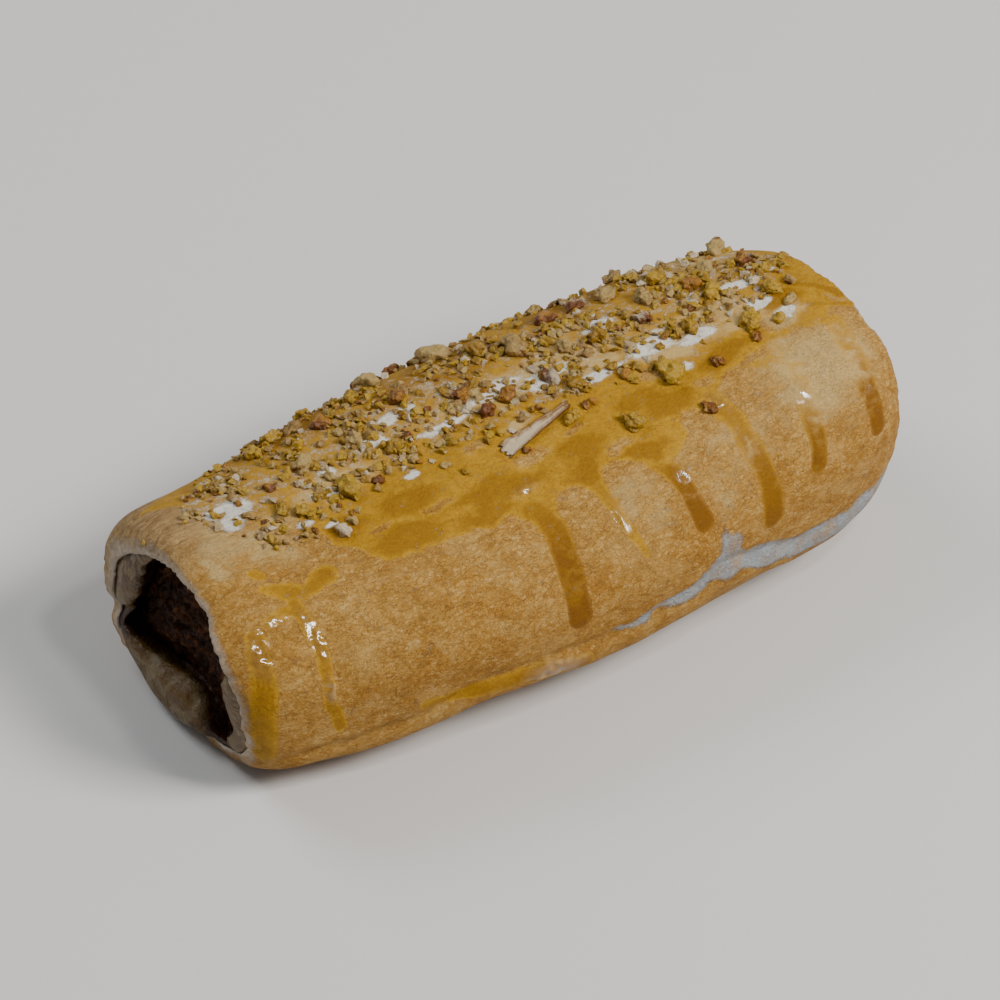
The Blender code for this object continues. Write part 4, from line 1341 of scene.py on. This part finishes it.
def make_sliver():
    """The splinter, with how pale it is painted on its points."""
    (x1, a1), (x2, a2), width, thick = SLIVER
    one, two = on_skin(x1 * MM, a1), on_skin(x2 * MM, a2)
    where = resting_frame((x1 + x2) / 2 * MM, (a1 + a2) / 2, 0)
    outwards = where.to_3x3() @ Vector((0, 0, 1))
    lengthwise = two - one
    across = outwards.cross(lengthwise).normalized()
    mesh = bmesh.new()
    bmesh.ops.create_cube(mesh, size=1)
    bmesh.ops.subdivide_edges(mesh, edges=mesh.edges, cuts=15, use_grid_fill=True)
    tone = []
    for vert in mesh.verts:
        spot = vert.co.copy()
        taper = 1.25 - 0.75 * (spot.x + 0.5)
        curl = 0.5 * (2 * spot.y) ** 2
        ragged = noise.noise(Vector((spot.x * 9, spot.y * 2, 3))) * 0.12 + noise.noise(spot * 9) * 0.10
        along_it = spot.x + 0.06 * noise.noise(Vector((spot.y * 4, spot.z * 2, 9)))
        height = 0.25 + curl * 0.25 + spot.z * 0.4 + ragged * 0.9
        vert.co = (where.translation + outwards * thick * height
                   + lengthwise * along_it + across * width * taper * (spot.y + ragged * 0.6))
        tone.append(0.60 + 0.5 * spot.z - 1.0 * abs(spot.y + 0.1) - 0.6 * spot.x + 2 * ragged)
    mesh.verts.index_update()
    points = [v.co[:] for v in mesh.verts]
    faces = [[v.index for v in face.verts] for face in mesh.faces]
    mesh.free()
    return mesh_piece("walnut_sliver", points, faces, {"top": tone})


def sliver_finish():
    """Pale on the top, brown on the low edges."""
    f = Finish("walnut sliver")
    grain = f.noise(0.7 * MM, 4, 0.65, 0.6)
    top = (f.painted("top") + (grain - 0.5) * 0.9).ramp(0.25, 0.85)
    colour = f.mix(top, SLIVER_BROWN, SLIVER_PALE)
    return f.set(Base_Color=colour, Normal=f.dent(grain, 0.15 * MM), Roughness=0.5)


finish_piece(make_sliver(), sliver_finish(), None)


# %% [markdown]
# ## Crumbs, scattered by Geometry Nodes
# Chopping also makes hundreds of crumbs a millimetre or two long, too many to list. Geometry
# Nodes throws them on the dough: points are spread over its faces, as thickly as the painted
# number says, each point picks one of a few crumb shapes, and each crumb is turned and sized at
# random. The painted number rises and falls along the band, so the crumbs lie in clumps. The
# seed is an input, so that the three kinds fall in different places. At the end the instances are
# made real and copied to a plain mesh.

# %% The crumbs' shapes
SHAPE_COUNT, SHAPE_SEED, CORNERS = 5, 5, 13


def crumb_shapes():
    """A collection of angular crumbs about a metre long, to be scaled down when scattered."""
    chance = random.Random(SHAPE_SEED)
    shapes = bpy.data.collections.new("crumb shapes")
    for i in range(SHAPE_COUNT):
        mesh = bmesh.new()
        flat = 0.35 if i % 2 else 0.65
        for _ in range(CORNERS):
            way = Vector([chance.gauss(0, 1) for _ in range(3)]).normalized() * chance.uniform(0.30, 0.5)
            mesh.verts.new((way.x, way.y * 0.8, way.z * flat + 0.10))
        bmesh.ops.convex_hull(mesh, input=mesh.verts)
        loose = [vert for vert in mesh.verts if not vert.link_faces]
        bmesh.ops.delete(mesh, geom=loose, context="VERTS")
        data = bpy.data.meshes.new("crumb")
        mesh.to_mesh(data)
        mesh.free()
        shapes.objects.link(bpy.data.objects.new("crumb", data))
    return shapes


shapes = crumb_shapes()


# %% The tree that scatters them
TREE_INPUTS = (("Geometry", "Geometry"), ("Density", "Float"), ("Seed", "Int"), ("Largest", "Float"),
               ("Material", "Material"))  # names and types
LEAN, WHOLE_TURN = 0.9, 6.28  # radians
TONE_SEED = 7


def scatter_tree(shapes):
    """Geometry Nodes that scatter picked shapes over a mesh where its painted number is high."""
    tree = bpy.data.node_groups.new("scatter crumbs", "GeometryNodeTree")
    for name, kind in TREE_INPUTS:
        tree.interface.new_socket(name, in_out="INPUT", socket_type="NodeSocket" + kind)
    tree.interface.new_socket("Geometry", in_out="OUTPUT", socket_type="NodeSocketGeometry")

    def add(kind, settings, sockets):
        """Adds a node with its settings, then its sockets' values or links."""
        made = tree.nodes.new(kind)
        for key, value in settings.items():
            setattr(made, key, value)
        for key, value in sockets.items():
            if isinstance(value, bpy.types.NodeSocket):
                tree.links.new(value, made.inputs[key])
            else:
                made.inputs[key].default_value = value
        return made.outputs

    def maths(operation, one, two):
        return add("ShaderNodeMath", {"operation": operation}, {0: one, 1: two})[0]

    given = tree.nodes.new("NodeGroupInput").outputs
    painted = add("GeometryNodeInputNamedAttribute", {"data_type": "FLOAT"}, {"Name": "nuts"})["Attribute"]
    spread = add("GeometryNodeDistributePointsOnFaces", {},
                 {"Mesh": given["Geometry"], "Density": maths("MULTIPLY", painted, given["Density"]),
                  "Seed": given["Seed"]})
    turn = add("FunctionNodeRandomValue", {"data_type": "FLOAT_VECTOR"},
               {0: (-LEAN, -LEAN, 0.0), 1: (LEAN, LEAN, WHOLE_TURN), "Seed": given["Seed"]})[0]
    turned = add("FunctionNodeRotateRotation", {"rotation_space": "LOCAL"},
                 {"Rotation": spread["Rotation"], "Rotate By": turn})[0]
    luck = add("FunctionNodeRandomValue", {"data_type": "FLOAT"},
               {2: 0.55, 3: 1.0, "Seed": given["Seed"]})[1]
    size = maths("MULTIPLY", maths("POWER", luck, 1.8), given["Largest"])
    picked = add("GeometryNodeCollectionInfo", {},
                 {"Collection": shapes, "Separate Children": True, "Reset Children": True})
    placed = add("GeometryNodeInstanceOnPoints", {},
                 {"Points": spread["Points"], "Instance": picked[0], "Pick Instance": True,
                  "Rotation": turned, "Scale": size})
    shade = add("FunctionNodeRandomValue", {"data_type": "FLOAT"}, {2: 0.0, 3: 1.0, "Seed": TONE_SEED})[1]
    toned = add("GeometryNodeStoreNamedAttribute", {"data_type": "FLOAT", "domain": "INSTANCE"},
                {"Geometry": placed[0], "Name": "tone", "Value": shade})
    real = add("GeometryNodeRealizeInstances", {}, {"Geometry": toned[0]})
    coloured = add("GeometryNodeSetMaterial", {}, {"Geometry": real[0], "Material": given["Material"]})
    tree.links.new(coloured[0], tree.nodes.new("NodeGroupOutput").inputs[0])
    return tree


crumb_tree = scatter_tree(shapes)
print("the tree has", len(crumb_tree.nodes), "nodes")


# %% Scattering the crumbs
# Each kind's piece, how many would lie on a square metre, and the size of its largest.
CRUMBS = (("crumbs_pale", 420000.0, 3.2 * MM), ("crumbs_soaked", 420000.0, 3.6 * MM),
          ("crumbs_browned", 170000.0, 2.4 * MM))
CRUMB_SEED = 3


def scatter(name, tree, material, density, seed, largest):
    """A plain mesh of crumbs, thrown over a copy of the dough by the modifier."""
    ground = new_object(name + " ground", dough.data)
    modifier = ground.modifiers.new("scatter", "NODES")
    modifier.node_group = tree
    wanted = {"Density": density, "Seed": seed, "Largest": largest, "Material": material}
    for item in tree.interface.items_tree:
        if item.in_out == "INPUT" and item.name in wanted:
            modifier[item.identifier] = wanted[item.name]
    graph = bpy.context.evaluated_depsgraph_get()
    data = bpy.data.meshes.new_from_object(ground.evaluated_get(graph))
    bpy.data.objects.remove(ground)
    return new_object(name, data)


for kind, (crumb_name, density, largest) in enumerate(CRUMBS):
    crumb_piece = scatter(crumb_name, crumb_tree, finishes[kind], density, CRUMB_SEED + kind, largest)
    finish_piece(crumb_piece, finishes[kind], None)
bpy.data.node_groups.remove(crumb_tree)
for shape in list(shapes.objects):
    bpy.data.objects.remove(shape)
bpy.data.collections.remove(shapes)


# %% [markdown]
# ## The floor
# A plain pale sheet, large enough that its edge never shows. A real sweep of paper would curve up
# behind the roll, but the camera looks down, so a flat one does.

# %% The floor
FLOOR_HALF = 3  # metres


def make_floor():
    """One square face under the roll."""
    corners = [(a * FLOOR_HALF, b * FLOOR_HALF, 0) for a, b in ((-1, -1), (1, -1), (1, 1), (-1, 1))]
    data = bpy.data.meshes.new("floor")
    data.from_pydata(corners, [], [(0, 1, 2, 3)])
    data.materials.append(Finish("pale floor").set(Base_Color=(0.62, 0.61, 0.60), Roughness=0.6))
    new_object("floor", data)


make_floor()
